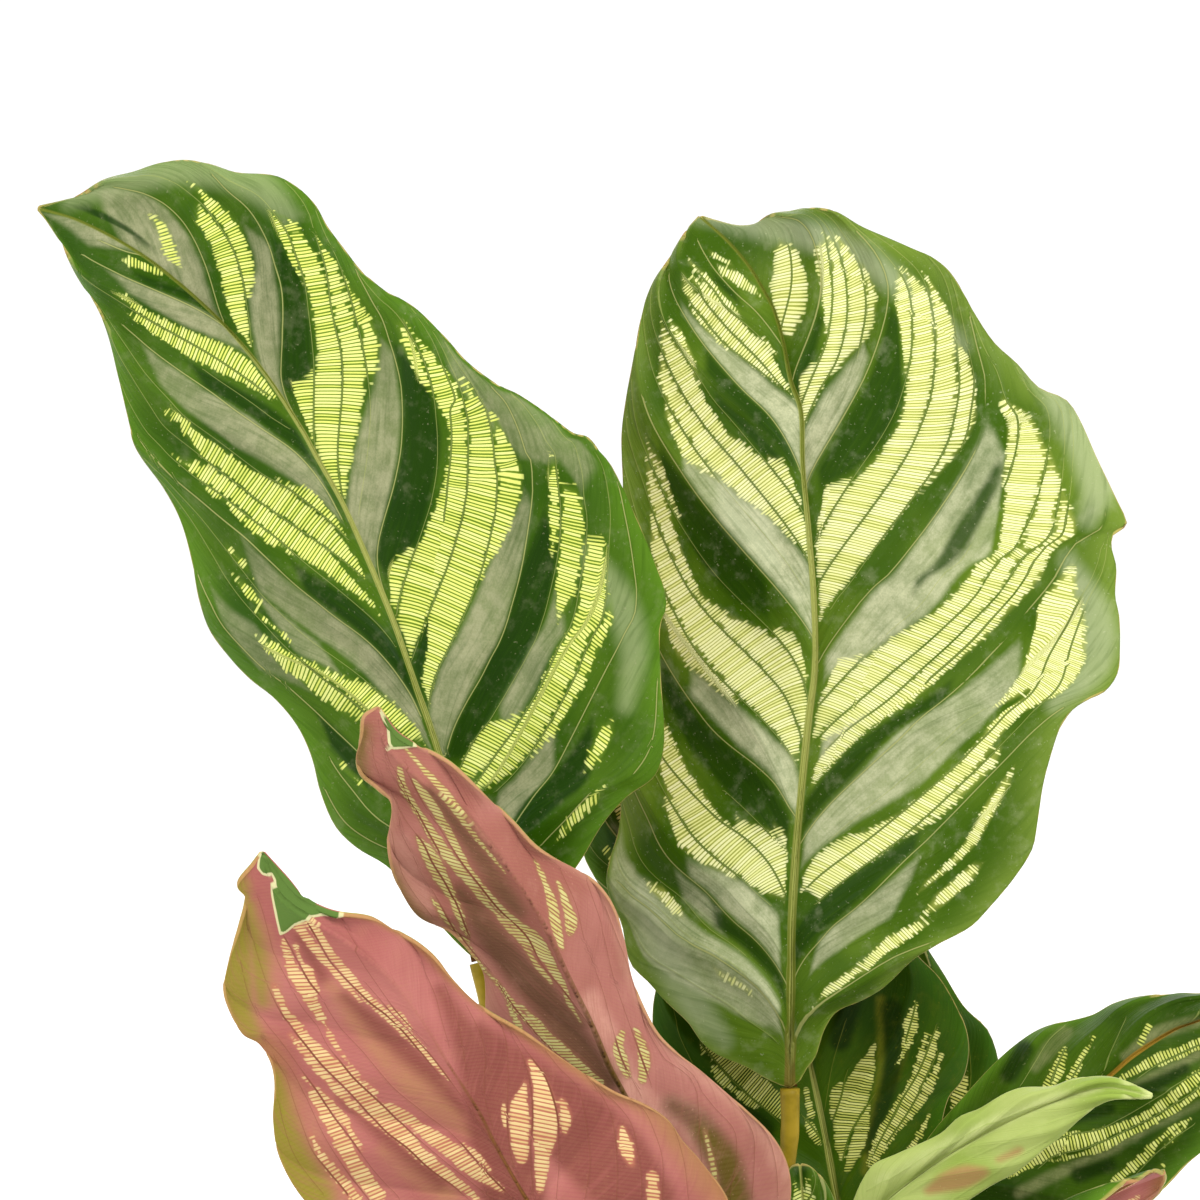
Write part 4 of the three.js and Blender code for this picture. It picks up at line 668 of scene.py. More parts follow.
# Silvery fields: the leaf's grey tone with a painted sheen
SILVERY_AND_SHEEN = {
    "tall_left": [
        [
            [[0.0, 4.85, 5.02], [0.12, 4.85, 5.08], [0.3, 4.9, 5.15], [0.5, 5.05, 5.26]],
            [[0.1, 3.9, 4.15], [0.25, 3.92, 4.2], [0.45, 3.9, 4.38], [0.62, 4.15, 4.5]],
            [[0.1, 2.45, 2.8], [0.3, 2.35, 2.8], [0.45, 2.4, 2.9], [0.6, 2.62, 3.0]],
            [[0.52, 2.1, 2.4], [0.62, 2.1, 2.6]], [[0.72, 1.7, 2.2], [0.85, 1.7, 2.2]],
            [[0.02, 5.5, 5.85], [0.4, 5.55, 5.9]],
        ],
        [
            [[0.0, 5.12, 5.55], [0.15, 5.14, 5.52], [0.3, 5.05, 5.5], [0.45, 5.02, 5.34],
             [0.56, 5.1, 5.36]],
            [[0.02, 4.12, 4.45], [0.3, 4.13, 4.4], [0.5, 4.12, 4.32], [0.66, 4.16, 4.24]],
            [[0.02, 2.95, 3.22], [0.2, 2.87, 3.22], [0.35, 2.84, 3.22], [0.48, 2.97, 3.24],
             [0.62, 3.08, 3.16]],
            [[0.36, 2.14, 2.38], [0.48, 2.08, 2.4], [0.58, 2.16, 2.5]],
            [[0.33, 1.35, 1.72], [0.42, 1.25, 1.74], [0.5, 1.5, 1.74]],
            [[0.02, 6.08, 6.6], [0.4, 6.1, 6.6], [0.7, 6.3, 6.5]],
            [[0.72, 3.1, 3.5], [0.85, 2.6, 3.6], [0.96, 2.5, 3.5]], [[0.8, 2.5, 3.0], [0.93, 2.2, 2.8]],
        ],
    ],
    "tall_right": [
        [
            [[0.04, 5.05, 5.52], [0.2, 5.14, 5.52], [0.35, 5.22, 5.52], [0.5, 5.32, 5.5],
             [0.62, 5.45, 5.58]],
            [[0.03, 4.1, 4.48], [0.3, 4.02, 4.4], [0.5, 4.0, 4.26], [0.62, 4.0, 4.15]],
            [[0.03, 3.05, 3.22], [0.12, 2.98, 3.22], [0.25, 2.92, 3.1], [0.4, 2.82, 3.0], [0.6, 2.76, 2.9]],
            [[0.16, 1.7, 2.2], [0.35, 1.76, 2.12], [0.55, 1.82, 2.0]],
            [[0.46, 1.42, 1.7], [0.6, 1.48, 1.76]],
            [[0.22, 0.75, 1.1], [0.4, 0.6, 1.25], [0.6, 0.6, 1.3], [0.8, 0.7, 1.4], [0.95, 0.9, 1.4]],
        ],
        [
            [[0.02, 5.02, 5.5], [0.2, 5.02, 5.45], [0.34, 5.02, 5.28], [0.43, 5.02, 5.15]],
            [[0.08, 3.9, 4.0], [0.18, 3.76, 4.0], [0.4, 3.62, 4.0], [0.55, 3.64, 4.0], [0.66, 3.82, 3.98]],
            [[0.08, 2.72, 2.95], [0.3, 2.63, 2.98], [0.5, 2.52, 3.12], [0.63, 2.6, 3.12]],
            [[0.26, 1.52, 1.8], [0.4, 1.5, 1.9], [0.52, 1.62, 2.02]],
            [[0.12, 3.3, 3.46], [0.25, 3.33, 3.4]],
        ],
    ],
}
# Dark fields: the leaf's dark tissue, deepened by painted shade
DARK_AND_SHADE = {
    "tall_left": [
        [
            [[0.02, 5.1, 5.22], [0.2, 5.16, 5.24], [0.3, 5.2, 5.28]],
            [[0.08, 4.2, 4.4], [0.22, 4.22, 4.46], [0.4, 4.38, 4.55]],
            [[0.08, 2.84, 3.1], [0.25, 2.85, 3.15], [0.42, 2.93, 3.12]],
            [[0.6, 1.25, 1.48], [0.75, 1.3, 1.5]],
        ],
        [
            [[0.12, 4.98, 5.12], [0.22, 4.88, 5.07], [0.3, 4.8, 5.02], [0.45, 4.77, 4.99],
             [0.6, 4.79, 5.02]],
            [[0.08, 4.0, 4.12], [0.16, 3.94, 4.12], [0.24, 3.84, 4.11], [0.55, 3.84, 4.1],
             [0.69, 3.88, 4.15]],
            [[0.06, 2.84, 2.9], [0.15, 2.58, 2.87], [0.3, 2.44, 2.8], [0.45, 2.4, 2.92], [0.52, 2.5, 3.0],
             [0.64, 2.66, 2.95]],
            [[0.06, 3.4, 3.5], [0.14, 3.42, 3.52], [0.18, 3.46, 3.52]],
            [[0.44, 1.05, 1.3], [0.52, 1.0, 1.45], [0.64, 1.1, 1.5]],
            [[0.18, 6.42, 6.5], [0.28, 6.55, 6.7], [0.4, 6.68, 6.76]],
        ],
    ],
    "tall_right": [
        [
            [[0.1, 4.98, 5.04], [0.3, 4.96, 5.16], [0.5, 5.02, 5.28]],
            [[0.2, 4.8, 4.92], [0.45, 4.84, 4.93]],
            [[0.3, 3.75, 3.97], [0.42, 3.62, 3.97], [0.55, 3.6, 3.97], [0.72, 3.76, 3.95]],
            [[0.1, 2.74, 2.92], [0.2, 2.64, 2.88], [0.4, 2.52, 2.76], [0.6, 2.5, 2.7], [0.72, 2.6, 2.74]],
            [[0.14, 1.36, 1.66], [0.3, 1.35, 1.66], [0.47, 1.46, 1.7]], [[0.3, 6.1, 6.22], [0.4, 6.2, 6.3]],
        ],
        [
            [[0.06, 5.86, 5.97], [0.2, 5.8, 5.98], [0.33, 5.86, 5.98]],
            [[0.12, 4.86, 4.97], [0.24, 4.72, 4.97], [0.38, 4.62, 4.95], [0.5, 4.65, 4.95],
             [0.6, 4.86, 4.95]],
            [[0.06, 3.0, 3.18], [0.25, 3.0, 3.19], [0.46, 3.12, 3.2]],
            [[0.08, 1.82, 2.18], [0.3, 1.9, 2.2], [0.5, 2.1, 2.22]],
            [[0.38, 3.78, 3.83], [0.5, 3.76, 3.87], [0.64, 3.8, 3.85]],
        ],
    ],
}

# Painted sheen, pale highlights on two upper faces: strokes in the front view's pixels, [x, y, half width]
# from end to end
PAINTED_SHEEN = {
    "tall_left": [
        [[70, 203, 4], [110, 186, 10], [170, 170, 14], [220, 172, 14], [262, 188, 14], [288, 215, 8]],
        [[585, 550, 6], [618, 598, 14], [634, 650, 12], [626, 705, 6]],
    ],
    "tall_right": [
        [[700, 216, 6], [770, 228, 12], [840, 245, 13], [905, 290, 10], [960, 345, 8]],
        [[1005, 325, 6], [1050, 385, 13], [1085, 440, 18], [1098, 488, 16], [1088, 520, 6]],
        [[1068, 560, 6], [1094, 620, 18], [1092, 665, 16], [1055, 705, 6]],
        [[712, 450, 6], [745, 510, 22], [772, 560, 8]],
        [[640, 890, 8], [668, 955, 16], [700, 1010, 14], [725, 1040, 6]],
    ],
}


def band(slant, guide, *strips):
    """A hatched band: its hatch lines cross a guide, leaning by a slant, inside strips that are strokes."""
    return dict(slant=slant, guide=guide, strips=list(strips))


# The patterns drawn in the front view on the other leaves, in its pixels. veins: small veins as [x, y]
# from end to end. tan, dark and wash: soft fields as strokes like those of the painted sheen, the dark ones
# dark tissue partly deepened by painted shade. turned: outlines of a tip that is folded over. seen: low x,
# low y, high x and high y of where the drawing holds
DRAWN = {
    "low_front": dict(
        bands=[
            band(
                -0.7,
                [[298, 920], [318, 942], [330, 959], [345, 977], [362, 994], [387, 1013], [420, 1044],
                 [452, 1080]],
                [[296, 921, 5], [310, 940, 4.5], [321, 954, 4], [334, 970, 3.5], [348, 986, 3],
                 [360, 999, 2]],
                [[307, 918, 4.5], [318, 932, 4.5], [327, 946, 4], [335, 957, 4], [345, 969, 4.5],
                 [356, 984, 4.5], [366, 995, 4.5], [378, 1006, 4.5], [391, 1018, 4.5], [403, 1030, 4],
                 [416, 1041, 4], [430, 1057, 3], [441, 1069, 2], [449, 1078, 1]],
                [[388, 1005, 2], [400, 1014, 3], [412, 1028, 2]],
            ),
            band(
                -0.5,
                [[255, 900], [270, 936], [276, 957], [289, 982], [303, 1007], [316, 1023], [330, 1044],
                 [345, 1065], [366, 1088], [400, 1121], [442, 1158], [500, 1202]],
                [[284, 940, 3.5], [289, 957, 5], [291, 965, 6], [296, 976, 7], [303, 986, 7], [310, 997, 7],
                 [316, 1007, 6], [322, 1017, 4.5], [326, 1025, 2], [331, 1037, 3.5], [341, 1052, 2],
                 [357, 1072, 1.5], [366, 1082, 2], [376, 1091, 3]],
                [[296, 945, 3], [302, 962, 2], [308, 972, 6], [315, 990, 5]],
                [[384, 1103, 2], [396, 1109, 5], [407, 1117, 6], [419, 1126, 6], [435, 1138, 7.5],
                 [452, 1150, 8], [469, 1165, 8], [483, 1175, 6], [502, 1188, 3]],
                [[462, 1143, 2], [477, 1155, 3.5], [490, 1169, 2]],
                [[274, 985, 3], [279, 996, 4], [287, 1013, 5], [297, 1025, 5.5], [305, 1040, 6.5],
                 [318, 1053, 8], [328, 1061, 8.5], [340, 1071, 9], [351, 1081, 9], [361, 1092, 9],
                 [373, 1105, 9], [385, 1117, 9], [397, 1129, 9], [407, 1139, 8.5], [416, 1149, 7],
                 [431, 1161, 6.5], [450, 1176, 5.5], [469, 1190, 4], [478, 1199, 2.5]],
                [[290, 1034, 3], [303, 1050, 3.5], [316, 1066, 4], [327, 1077, 4], [340, 1091, 4],
                 [353, 1104, 4], [367, 1116, 3], [388, 1132, 2], [410, 1150, 1]],
            ),
            band(
                -0.35,
                [[290, 1050], [304, 1072], [315, 1087], [323, 1099], [333, 1115], [347, 1133], [363, 1155],
                 [376, 1172], [398, 1196]],
                [[311, 1090, 3], [315, 1097, 5], [322, 1107, 7], [329, 1119, 7.5], [336, 1131, 8],
                 [343, 1143, 9], [350, 1156, 9], [358, 1168, 9], [367, 1181, 9], [378, 1195, 8]],
                [[302, 1074, 1.5], [313, 1085, 2], [324, 1095, 4], [335, 1108, 4.5], [345, 1120, 4.5],
                 [353, 1136, 3.5], [363, 1149, 2]],
            ),
            band(
                -0.15,
                [[300, 1115], [313, 1139], [329, 1165], [346, 1187], [360, 1204]],
                [[310, 1132, 2], [320, 1153, 4], [329, 1165, 5], [338, 1176, 6], [347, 1187, 6.5],
                 [357, 1198, 6.5]],
            ),
            band(
                -0.15,
                [[530, 1050], [532, 1085], [531, 1117], [530, 1148], [531, 1200]],
                [[525, 1082, 2], [522, 1093, 5], [519, 1104, 9], [519, 1117, 10], [519, 1133, 10],
                 [520, 1148, 8], [521, 1157, 6]],
                [[503, 1104, 1.5], [504, 1116, 3], [505, 1126, 1.5]],
                [[530, 1062, 4], [536, 1073, 6], [541, 1088, 9], [544, 1106, 12], [545, 1121, 12.5],
                 [544, 1137, 12], [542, 1150, 9], [541, 1165, 7], [540, 1179, 6], [539, 1190, 3]],
                [[561, 1101, 4], [565, 1116, 6], [564, 1131, 3]],
                [[622, 1129, 4], [625, 1144, 8], [628, 1154, 7], [631, 1163, 4]],
                [[652, 1176, 6], [653, 1200, 7]],
            ),
        ],
        veins=[
            [[309, 923], [320, 942], [330, 959], [345, 977], [362, 994], [372, 1003], [387, 1014],
             [407, 1034], [440, 1075]],
            [[366, 982], [380, 998], [393, 1013], [408, 1026], [428, 1044]],
            [[282, 931], [291, 946], [299, 963], [310, 982], [320, 994], [330, 1011], [345, 1032],
             [362, 1050], [378, 1069], [395, 1088], [425, 1112], [452, 1133], [483, 1167], [514, 1198]],
            [[258, 895], [263, 909], [270, 936], [276, 957], [289, 982], [303, 1007], [316, 1023],
             [327, 1044], [340, 1060], [353, 1076], [371, 1093], [384, 1105], [396, 1117], [417, 1137],
             [442, 1158], [469, 1179], [494, 1198]],
            [[250, 925], [254, 944], [262, 969], [270, 990], [282, 1013], [297, 1034], [303, 1041],
             [321, 1063], [335, 1077], [351, 1093], [371, 1115], [387, 1132], [407, 1147], [430, 1168],
             [455, 1186], [472, 1202]],
            [[240, 960], [251, 1000], [266, 1023], [282, 1042], [304, 1072], [315, 1087], [323, 1099],
             [333, 1115], [347, 1133], [363, 1155], [376, 1172], [400, 1198]],
            [[262, 1035], [288, 1063], [300, 1084], [313, 1112], [323, 1133], [335, 1153], [351, 1176],
             [371, 1202]],
            [[274, 1055], [285, 1075], [293, 1099], [303, 1127], [313, 1151], [329, 1171], [347, 1193]],
            [[278, 1100], [284, 1125], [292, 1149], [305, 1171], [323, 1193]],
            [[345, 930], [365, 965], [400, 1015], [440, 1065], [500, 1150]],
            [[420, 960], [435, 996], [440, 1017], [448, 1044]],
            [[445, 985], [454, 1012], [460, 1037], [465, 1067]],
            [[465, 1005], [479, 1033], [484, 1054], [483, 1079], [484, 1100], [492, 1127]],
            [[495, 1015], [504, 1037], [508, 1075], [507, 1096], [507, 1127], [510, 1154], [517, 1175]],
            [[500, 1010], [512, 1033], [523, 1058], [530, 1085], [532, 1117], [530, 1148], [531, 1175],
             [533, 1200]],
            [[515, 1035], [529, 1054], [544, 1075], [552, 1096], [557, 1117], [558, 1137], [558, 1169],
             [556, 1198]],
            [[545, 1050], [558, 1067], [577, 1087], [583, 1108], [587, 1133], [590, 1162], [585, 1198]],
            [[585, 1075], [600, 1094], [610, 1112], [615, 1137], [617, 1171], [616, 1200]],
            [[600, 1088], [617, 1104], [631, 1123], [637, 1148], [641, 1175], [641, 1200]],
            [[628, 1097], [643, 1108], [654, 1131], [662, 1158], [662, 1198]],
            [[648, 1108], [668, 1117], [683, 1158], [688, 1198]],
        ],
        tan=[
            [[330, 985, 6], [380, 1045, 14], [425, 1090, 16], [470, 1132, 6]],
            [[262, 930, 8], [268, 965, 12], [272, 1000, 8]],
            [[292, 1085, 10], [305, 1120, 12], [325, 1165, 12], [345, 1195, 12]],
            [[385, 1150, 8], [420, 1175, 12], [450, 1198, 10]],
            [[440, 935, 10], [520, 1015, 8], [600, 1078, 7], [660, 1118, 8], [700, 1180, 10]],
        ],
        dark=[
            [[345, 995, 3], [390, 1035, 10], [430, 1072, 8], [465, 1110, 4]],
            [[340, 1098, 2], [380, 1132, 6], [410, 1156, 7], [440, 1180, 6]],
            [[478, 1030, 8], [530, 1090, 30], [600, 1150, 40], [640, 1200, 34]],
            [[440, 990, 5], [475, 1060, 18], [498, 1130, 28], [515, 1200, 30]],
            [[300, 935, 4], [322, 975, 5]],
        ],
        wash_and_sheen=[
            [[240, 885, 8], [238, 930, 14], [236, 975, 17], [240, 1010, 12], [252, 1030, 6]],
            [[275, 1075, 5], [280, 1120, 14], [290, 1160, 20], [310, 1195, 22]],
            [[250, 905, 4], [258, 960, 8], [262, 1000, 4]],
        ],
        turned=[
            [[263, 846], [260, 856], [259, 866], [264, 872], [270, 873], [273, 879], [273, 891], [275, 904],
             [278, 919], [281, 932], [287, 929], [295, 922], [304, 918], [320, 915], [336, 916], [350, 910],
             [330, 900], [304, 880], [285, 860]],
        ],
    ),
    "middle": dict(
        bands=[
            band(
                -1.2,
                [[398, 755], [412, 779], [423, 800], [437, 823], [450, 844], [462, 862], [479, 883],
                 [496, 904], [513, 921], [529, 938], [540, 960], [555, 979], [569, 996], [590, 1025]],
                [[400, 765, 2], [403, 783, 4], [412, 802, 4.5], [421, 815, 4.5], [429, 829, 5],
                 [440, 844, 6], [452, 860, 5.5], [467, 877, 4.5], [483, 898, 3], [496, 912, 2.5],
                 [508, 927, 2.5], [523, 942, 2.5], [538, 965, 2.5], [552, 981, 2]],
                [[414, 779, 2.5], [424, 792, 4], [434, 805, 4.5], [442, 819, 4.5], [450, 833, 4.5],
                 [457, 848, 4], [465, 862, 3.5], [473, 873, 2.5], [484, 888, 3.5], [498, 904, 4],
                 [510, 917, 5], [522, 928, 7], [533, 938, 9], [542, 948, 8], [550, 960, 6], [557, 973, 4.5],
                 [565, 985, 3], [569, 1000, 2.5], [575, 1010, 2], [582, 1021, 1]],
            ),
            band(
                -1.2,
                [[412, 830], [423, 842], [433, 862], [444, 879], [454, 898], [464, 920], [475, 945]],
                [[417, 836, 2.5], [427, 850, 7], [434, 862, 8], [441, 875, 8], [448, 887, 6.5],
                 [454, 900, 4.5], [458, 910, 5], [464, 925, 4], [469, 935, 2.5]],
                [[432, 898, 2], [440, 910, 3.5], [448, 921, 3], [456, 931, 3], [467, 942, 2.5]],
            ),
            band(
                -1.2,
                [[500, 990], [523, 1014], [550, 1038], [575, 1060], [605, 1084]],
                [[452, 928, 2], [467, 946, 2.5], [482, 967, 2.5], [498, 983, 2.5], [511, 1000, 3],
                 [523, 1015, 3], [538, 1031, 3], [550, 1044, 3], [565, 1056, 2]],
                [[520, 1004, 1.5], [538, 1023, 4], [550, 1038, 5], [561, 1047, 5], [575, 1060, 4.5],
                 [590, 1073, 4], [603, 1082, 2.5]],
                [[508, 1001, 2], [514, 1014, 3.5], [521, 1028, 2.5]],
            ),
            band(
                -1.0,
                [[520, 840], [548, 892], [562, 950], [600, 1000], [622, 1062], [640, 1100]],
                [[534, 860, 2], [540, 873, 3.5], [545, 885, 3.5], [549, 895, 4.5], [552, 908, 5.5],
                 [554, 922, 6], [557, 935, 5], [560, 947, 3]],
                [[557, 882, 2], [562, 893, 4], [568, 912, 5], [570, 922, 6.5], [569, 932, 4]],
                [[621, 1033, 3], [617, 1046, 5], [620, 1058, 6], [626, 1075, 4]],
                [[634, 1030, 2.5], [640, 1045, 5], [643, 1060, 6.5], [641, 1080, 4]],
            ),
            band(
                -1.0,
                [[400, 740], [506, 871]],
                [[405, 748, 2], [419, 765, 2.5], [433, 781, 3.5], [446, 796, 3.5], [462, 817, 3],
                 [479, 838, 2.5], [492, 854, 2], [506, 871, 1.2]],
            ),
            band(0.0, [[700, 1115], [715, 1185]], [[704, 1130, 2], [712, 1165, 3], [716, 1185, 2]]),
        ],
        veins=[
            [[404, 762], [412, 779], [423, 800], [437, 823], [450, 844], [462, 862], [479, 883], [496, 904],
             [513, 921], [529, 938], [540, 960], [555, 979], [571, 998], [592, 1026]],
            [[385, 760], [402, 785], [412, 803], [425, 826], [440, 852]],
            [[388, 790], [402, 815], [415, 832], [423, 842], [433, 862], [444, 879], [454, 898],
             [470, 935]],
            [[398, 815], [402, 833], [412, 852], [423, 875], [437, 898], [450, 921], [467, 946],
             [490, 970]],
            [[392, 830], [400, 870], [415, 895], [432, 915]],
            [[500, 985], [511, 1002], [523, 1017], [545, 1042], [575, 1068]],
            [[560, 870], [575, 905], [583, 940], [600, 985], [612, 1030], [622, 1062], [640, 1096]],
            [[585, 880], [602, 930], [612, 975], [628, 1025], [650, 1085]],
            [[605, 905], [625, 960], [640, 1010], [665, 1060], [693, 1075], [697, 1100], [700, 1150],
             [705, 1198]],
            [[680, 1065], [714, 1108], [733, 1129], [736, 1150], [730, 1198]],
            [[715, 1085], [745, 1117], [754, 1137], [754, 1169], [752, 1196]],
            [[735, 1100], [765, 1130], [775, 1160], [778, 1196]], [[372, 735], [375, 760], [385, 785]],
            [[383, 735], [390, 760], [402, 785]],
        ],
        tan=[
            [[400, 840, 8], [415, 880, 10], [430, 905, 8]],
            [[590, 1000, 10], [640, 1100, 12], [690, 1120, 14], [720, 1200, 14]],
            [[610, 880, 6], [635, 980, 6], [680, 1060, 7], [740, 1100, 8], [785, 1170, 8]],
            [[363, 745, 6], [358, 775, 6]],
        ],
        dark=[
            [[460, 890, 5], [485, 925, 12], [515, 965, 15], [545, 1000, 16], [575, 1040, 14],
             [608, 1078, 10]],
            [[430, 790, 3], [455, 820, 7], [480, 855, 9], [500, 885, 9], [520, 910, 5]],
            [[672, 1105, 8], [700, 1125, 12], [722, 1165, 14], [735, 1198, 14]],
            [[545, 985, 6], [580, 1025, 6]],
        ],
        wash_and_sheen=[
            [[365, 730, 5], [360, 760, 7], [364, 778, 5]], [[390, 870, 4], [405, 900, 5], [425, 922, 4]],
            [[700, 1130, 6], [725, 1160, 12], [735, 1198, 12]],
        ],
        turned=[
            [[384, 702], [381, 712], [387, 726], [388, 748], [402, 747], [416, 744], [420, 736],
             [402, 716]],
        ],
    ),
    "lower": dict(
        bands=[
            band(
                0.0,
                [[690, 1036], [707, 1052], [727, 1075], [748, 1094], [765, 1108], [792, 1132]],
                [[708, 1048, 3], [717, 1057, 7], [734, 1068, 10], [752, 1083, 11], [769, 1098, 11],
                 [786, 1113, 8]],
                [[701, 1046, 3], [703, 1052, 3]],
                [[712, 1065, 3], [723, 1079, 6], [735, 1090, 3], [743, 1096, 5], [756, 1106, 3]],
            ),
            band(
                0.1,
                [[800, 1070], [806, 1108], [813, 1130], [822, 1150]],
                [[806, 1090, 2.5], [808, 1103, 3.5], [811, 1116, 4]],
                [[805, 1120, 2], [811, 1130, 5], [818, 1143, 3]],
            ),
            band(
                0.1,
                [[868, 1020], [862, 1060], [852, 1100], [846, 1130], [842, 1180]],
                [[842, 1085, 3], [838, 1091, 7], [836, 1102, 6], [833, 1117, 2]],
                [[875, 1044, 1.5], [870, 1058, 6], [863, 1075, 11], [855, 1094, 13], [847, 1114, 12],
                 [842, 1133, 8], [841, 1148, 6], [842, 1157, 3]],
                [[869, 1104, 1.5], [864, 1122, 6], [859, 1141, 8], [853, 1157, 6], [848, 1170, 3]],
            ),
            band(
                0.1,
                [[925, 985], [913, 1012], [904, 1040], [890, 1075]],
                [[916, 1003, 3], [912, 1014, 6], [910, 1026, 8], [907, 1040, 6], [902, 1054, 3],
                 [896, 1066, 2]],
            ),
            band(
                0.0,
                [[942, 1020], [931, 1047], [921, 1071], [905, 1100], [885, 1131], [866, 1165]],
                [[937, 1030, 3], [932, 1045, 6], [928, 1058, 7], [922, 1071, 8], [913, 1087, 8],
                 [902, 1108, 9], [890, 1127, 9], [879, 1145, 8], [870, 1162, 5]],
                [[926, 1034, 2.5], [922, 1049, 4], [914, 1074, 3]],
                [[941, 1056, 3], [934, 1075, 5], [925, 1092, 5], [912, 1111, 4.5], [898, 1128, 3]],
            ),
            band(
                0.0,
                [[932, 1105], [921, 1131], [908, 1152]],
                [[928, 1116, 2], [921, 1131, 4], [911, 1148, 4]],
            ),
        ],
        veins=[
            [[700, 1043], [707, 1052], [727, 1075], [748, 1094], [765, 1108], [790, 1131]],
            [[672, 1005], [680, 1035], [693, 1063]], [[802, 1116], [812, 1128], [828, 1150]],
            [[848, 1070], [845, 1079], [842, 1096], [834, 1120]],
            [[874, 1094], [859, 1117], [850, 1133], [843, 1160]], [[845, 1020], [832, 1065], [825, 1110]],
            [[915, 1002], [912, 1016], [905, 1040]],
            [[936, 1026], [932, 1037], [919, 1071], [902, 1100], [884, 1131], [868, 1162]],
            [[938, 1052], [923, 1083], [907, 1112], [886, 1142]],
        ],
        tan=[
            [[905, 1045, 4], [890, 1090, 4]],
            [[880, 1000, 5], [882, 1050, 5], [874, 1110, 4], [864, 1170, 4]],
        ],
        dark=[
            [[892, 1010, 10], [893, 1060, 9], [880, 1115, 8], [868, 1150, 4]],
            [[850, 1000, 10], [840, 1040, 10]], [[700, 1090, 16], [760, 1130, 14]],
        ],
        wash_and_sheen=[],
    ),
    "hidden": dict(
        seen=[930, 950, 1010, 1115],
        bands=[
            band(
                0.0,
                [[968, 1060], [960, 1090], [950, 1110]],
                [[967, 1072, 2.5], [963, 1085, 6], [957, 1098, 8], [954, 1106, 4]],
            ),
        ],
        veins=[[[968, 1040], [971, 1075], [968, 1100]]],
        tan=[], dark=[[[950, 1020, 10], [955, 1060, 8]]], wash_and_sheen=[],
    ),
    "right": dict(
        bands=[
            band(
                0.0,
                [[1068, 1040], [1060, 1062], [1045, 1092]],
                [[1066, 1050, 3], [1061, 1062, 5.5], [1055, 1076, 6], [1047, 1087, 4]],
            ),
            band(
                0.0,
                [[1096, 1030], [1081, 1057], [1066, 1090]],
                [[1095, 1036, 1.5], [1089, 1047, 2], [1081, 1058, 3], [1077, 1068, 5], [1072, 1078, 5.5],
                 [1067, 1085, 4.5]],
            ),
            band(0.0, [[1152, 1022], [1139, 1046]], [[1149, 1027, 3.5], [1142, 1041, 4]]),
            band(
                0.0,
                [[1110, 1086], [1135, 1072], [1162, 1058], [1199, 1043], [1240, 1028]],
                [[1118, 1081, 2.5], [1135, 1072, 4], [1150, 1063, 5], [1162, 1057, 5], [1181, 1050, 4],
                 [1199, 1042, 4], [1220, 1034, 3]],
                [[1160, 1066, 1.5], [1177, 1058, 2.5], [1199, 1047, 2.5]],
            ),
            band(
                0.0,
                [[1005, 1182], [1027, 1168], [1054, 1152], [1082, 1143], [1107, 1135], [1129, 1126],
                 [1151, 1115], [1173, 1101], [1199, 1083], [1240, 1050]],
                [[1010, 1178, 1.5], [1027, 1167, 4], [1041, 1156, 7], [1060, 1147, 8], [1078, 1142, 8],
                 [1096, 1137, 7], [1115, 1130, 5], [1137, 1121, 4], [1155, 1110, 4], [1173, 1097, 5],
                 [1188, 1086, 6], [1201, 1075, 6], [1218, 1058, 4]],
                [[1054, 1161, 1.5], [1082, 1154, 3], [1104, 1147, 4.5], [1122, 1138, 4], [1144, 1128, 4],
                 [1164, 1116, 4], [1182, 1105, 4], [1199, 1092, 4.5], [1217, 1079, 3]],
                [[1053, 1141, 1.5], [1069, 1135, 2.5], [1080, 1133, 1.5]],
            ),
            band(
                0.0,
                [[1100, 1198], [1122, 1176], [1146, 1156], [1166, 1136], [1195, 1114]],
                [[1107, 1191, 3], [1122, 1176, 5], [1135, 1165, 6], [1146, 1156, 6], [1155, 1145, 4.5],
                 [1166, 1136, 4], [1175, 1128, 3.5], [1190, 1120, 2]],
                [[1164, 1146, 2.5], [1177, 1136, 3.5], [1188, 1124, 2]], [[1154, 1173, 3], [1163, 1166, 3]],
            ),
        ],
        veins=[
            [[1040, 1168], [1054, 1156], [1082, 1149], [1107, 1141], [1129, 1130], [1151, 1119],
             [1173, 1105], [1199, 1088], [1230, 1062]],
            [[1040, 1149], [1056, 1141], [1074, 1135], [1100, 1130], [1125, 1117], [1150, 1102],
             [1199, 1072]],
            [[1140, 1078], [1160, 1064], [1199, 1045]], [[1083, 1060], [1070, 1082]],
            [[1066, 1050], [1052, 1082]], [[1130, 1182], [1160, 1150], [1195, 1125]],
            [[1021, 1086], [1036, 1062], [1050, 1040], [1066, 1026]],
            [[1100, 1077], [1111, 1055], [1127, 1020]], [[1150, 1045], [1180, 1028], [1200, 1012]],
        ],
        tan=[
            [[1128, 1090, 3], [1162, 1073, 5], [1199, 1054, 5]],
            [[1020, 1193, 5], [1063, 1172, 6], [1100, 1155, 5], [1146, 1131, 4], [1199, 1104, 4]],
            [[1036, 1068, 5], [1050, 1050, 8], [1066, 1034, 7]],
            [[1125, 1056, 4], [1155, 1035, 6], [1199, 1022, 6]],
        ],
        dark=[
            [[1110, 1098, 5], [1150, 1088, 7], [1185, 1070, 5]], [[1080, 1175, 8], [1110, 1165, 6]],
            [[1010, 1075, 8], [1025, 1050, 8]], [[1075, 1118, 6], [1110, 1108, 6]],
        ],
        wash_and_sheen=[],
    ),
    "young": dict(
        seen=[0, 0, 2000, 2000], bands=[],
        veins=[
            [[880, 1215], [930, 1180], [1000, 1145], [1080, 1112], [1140, 1096]],
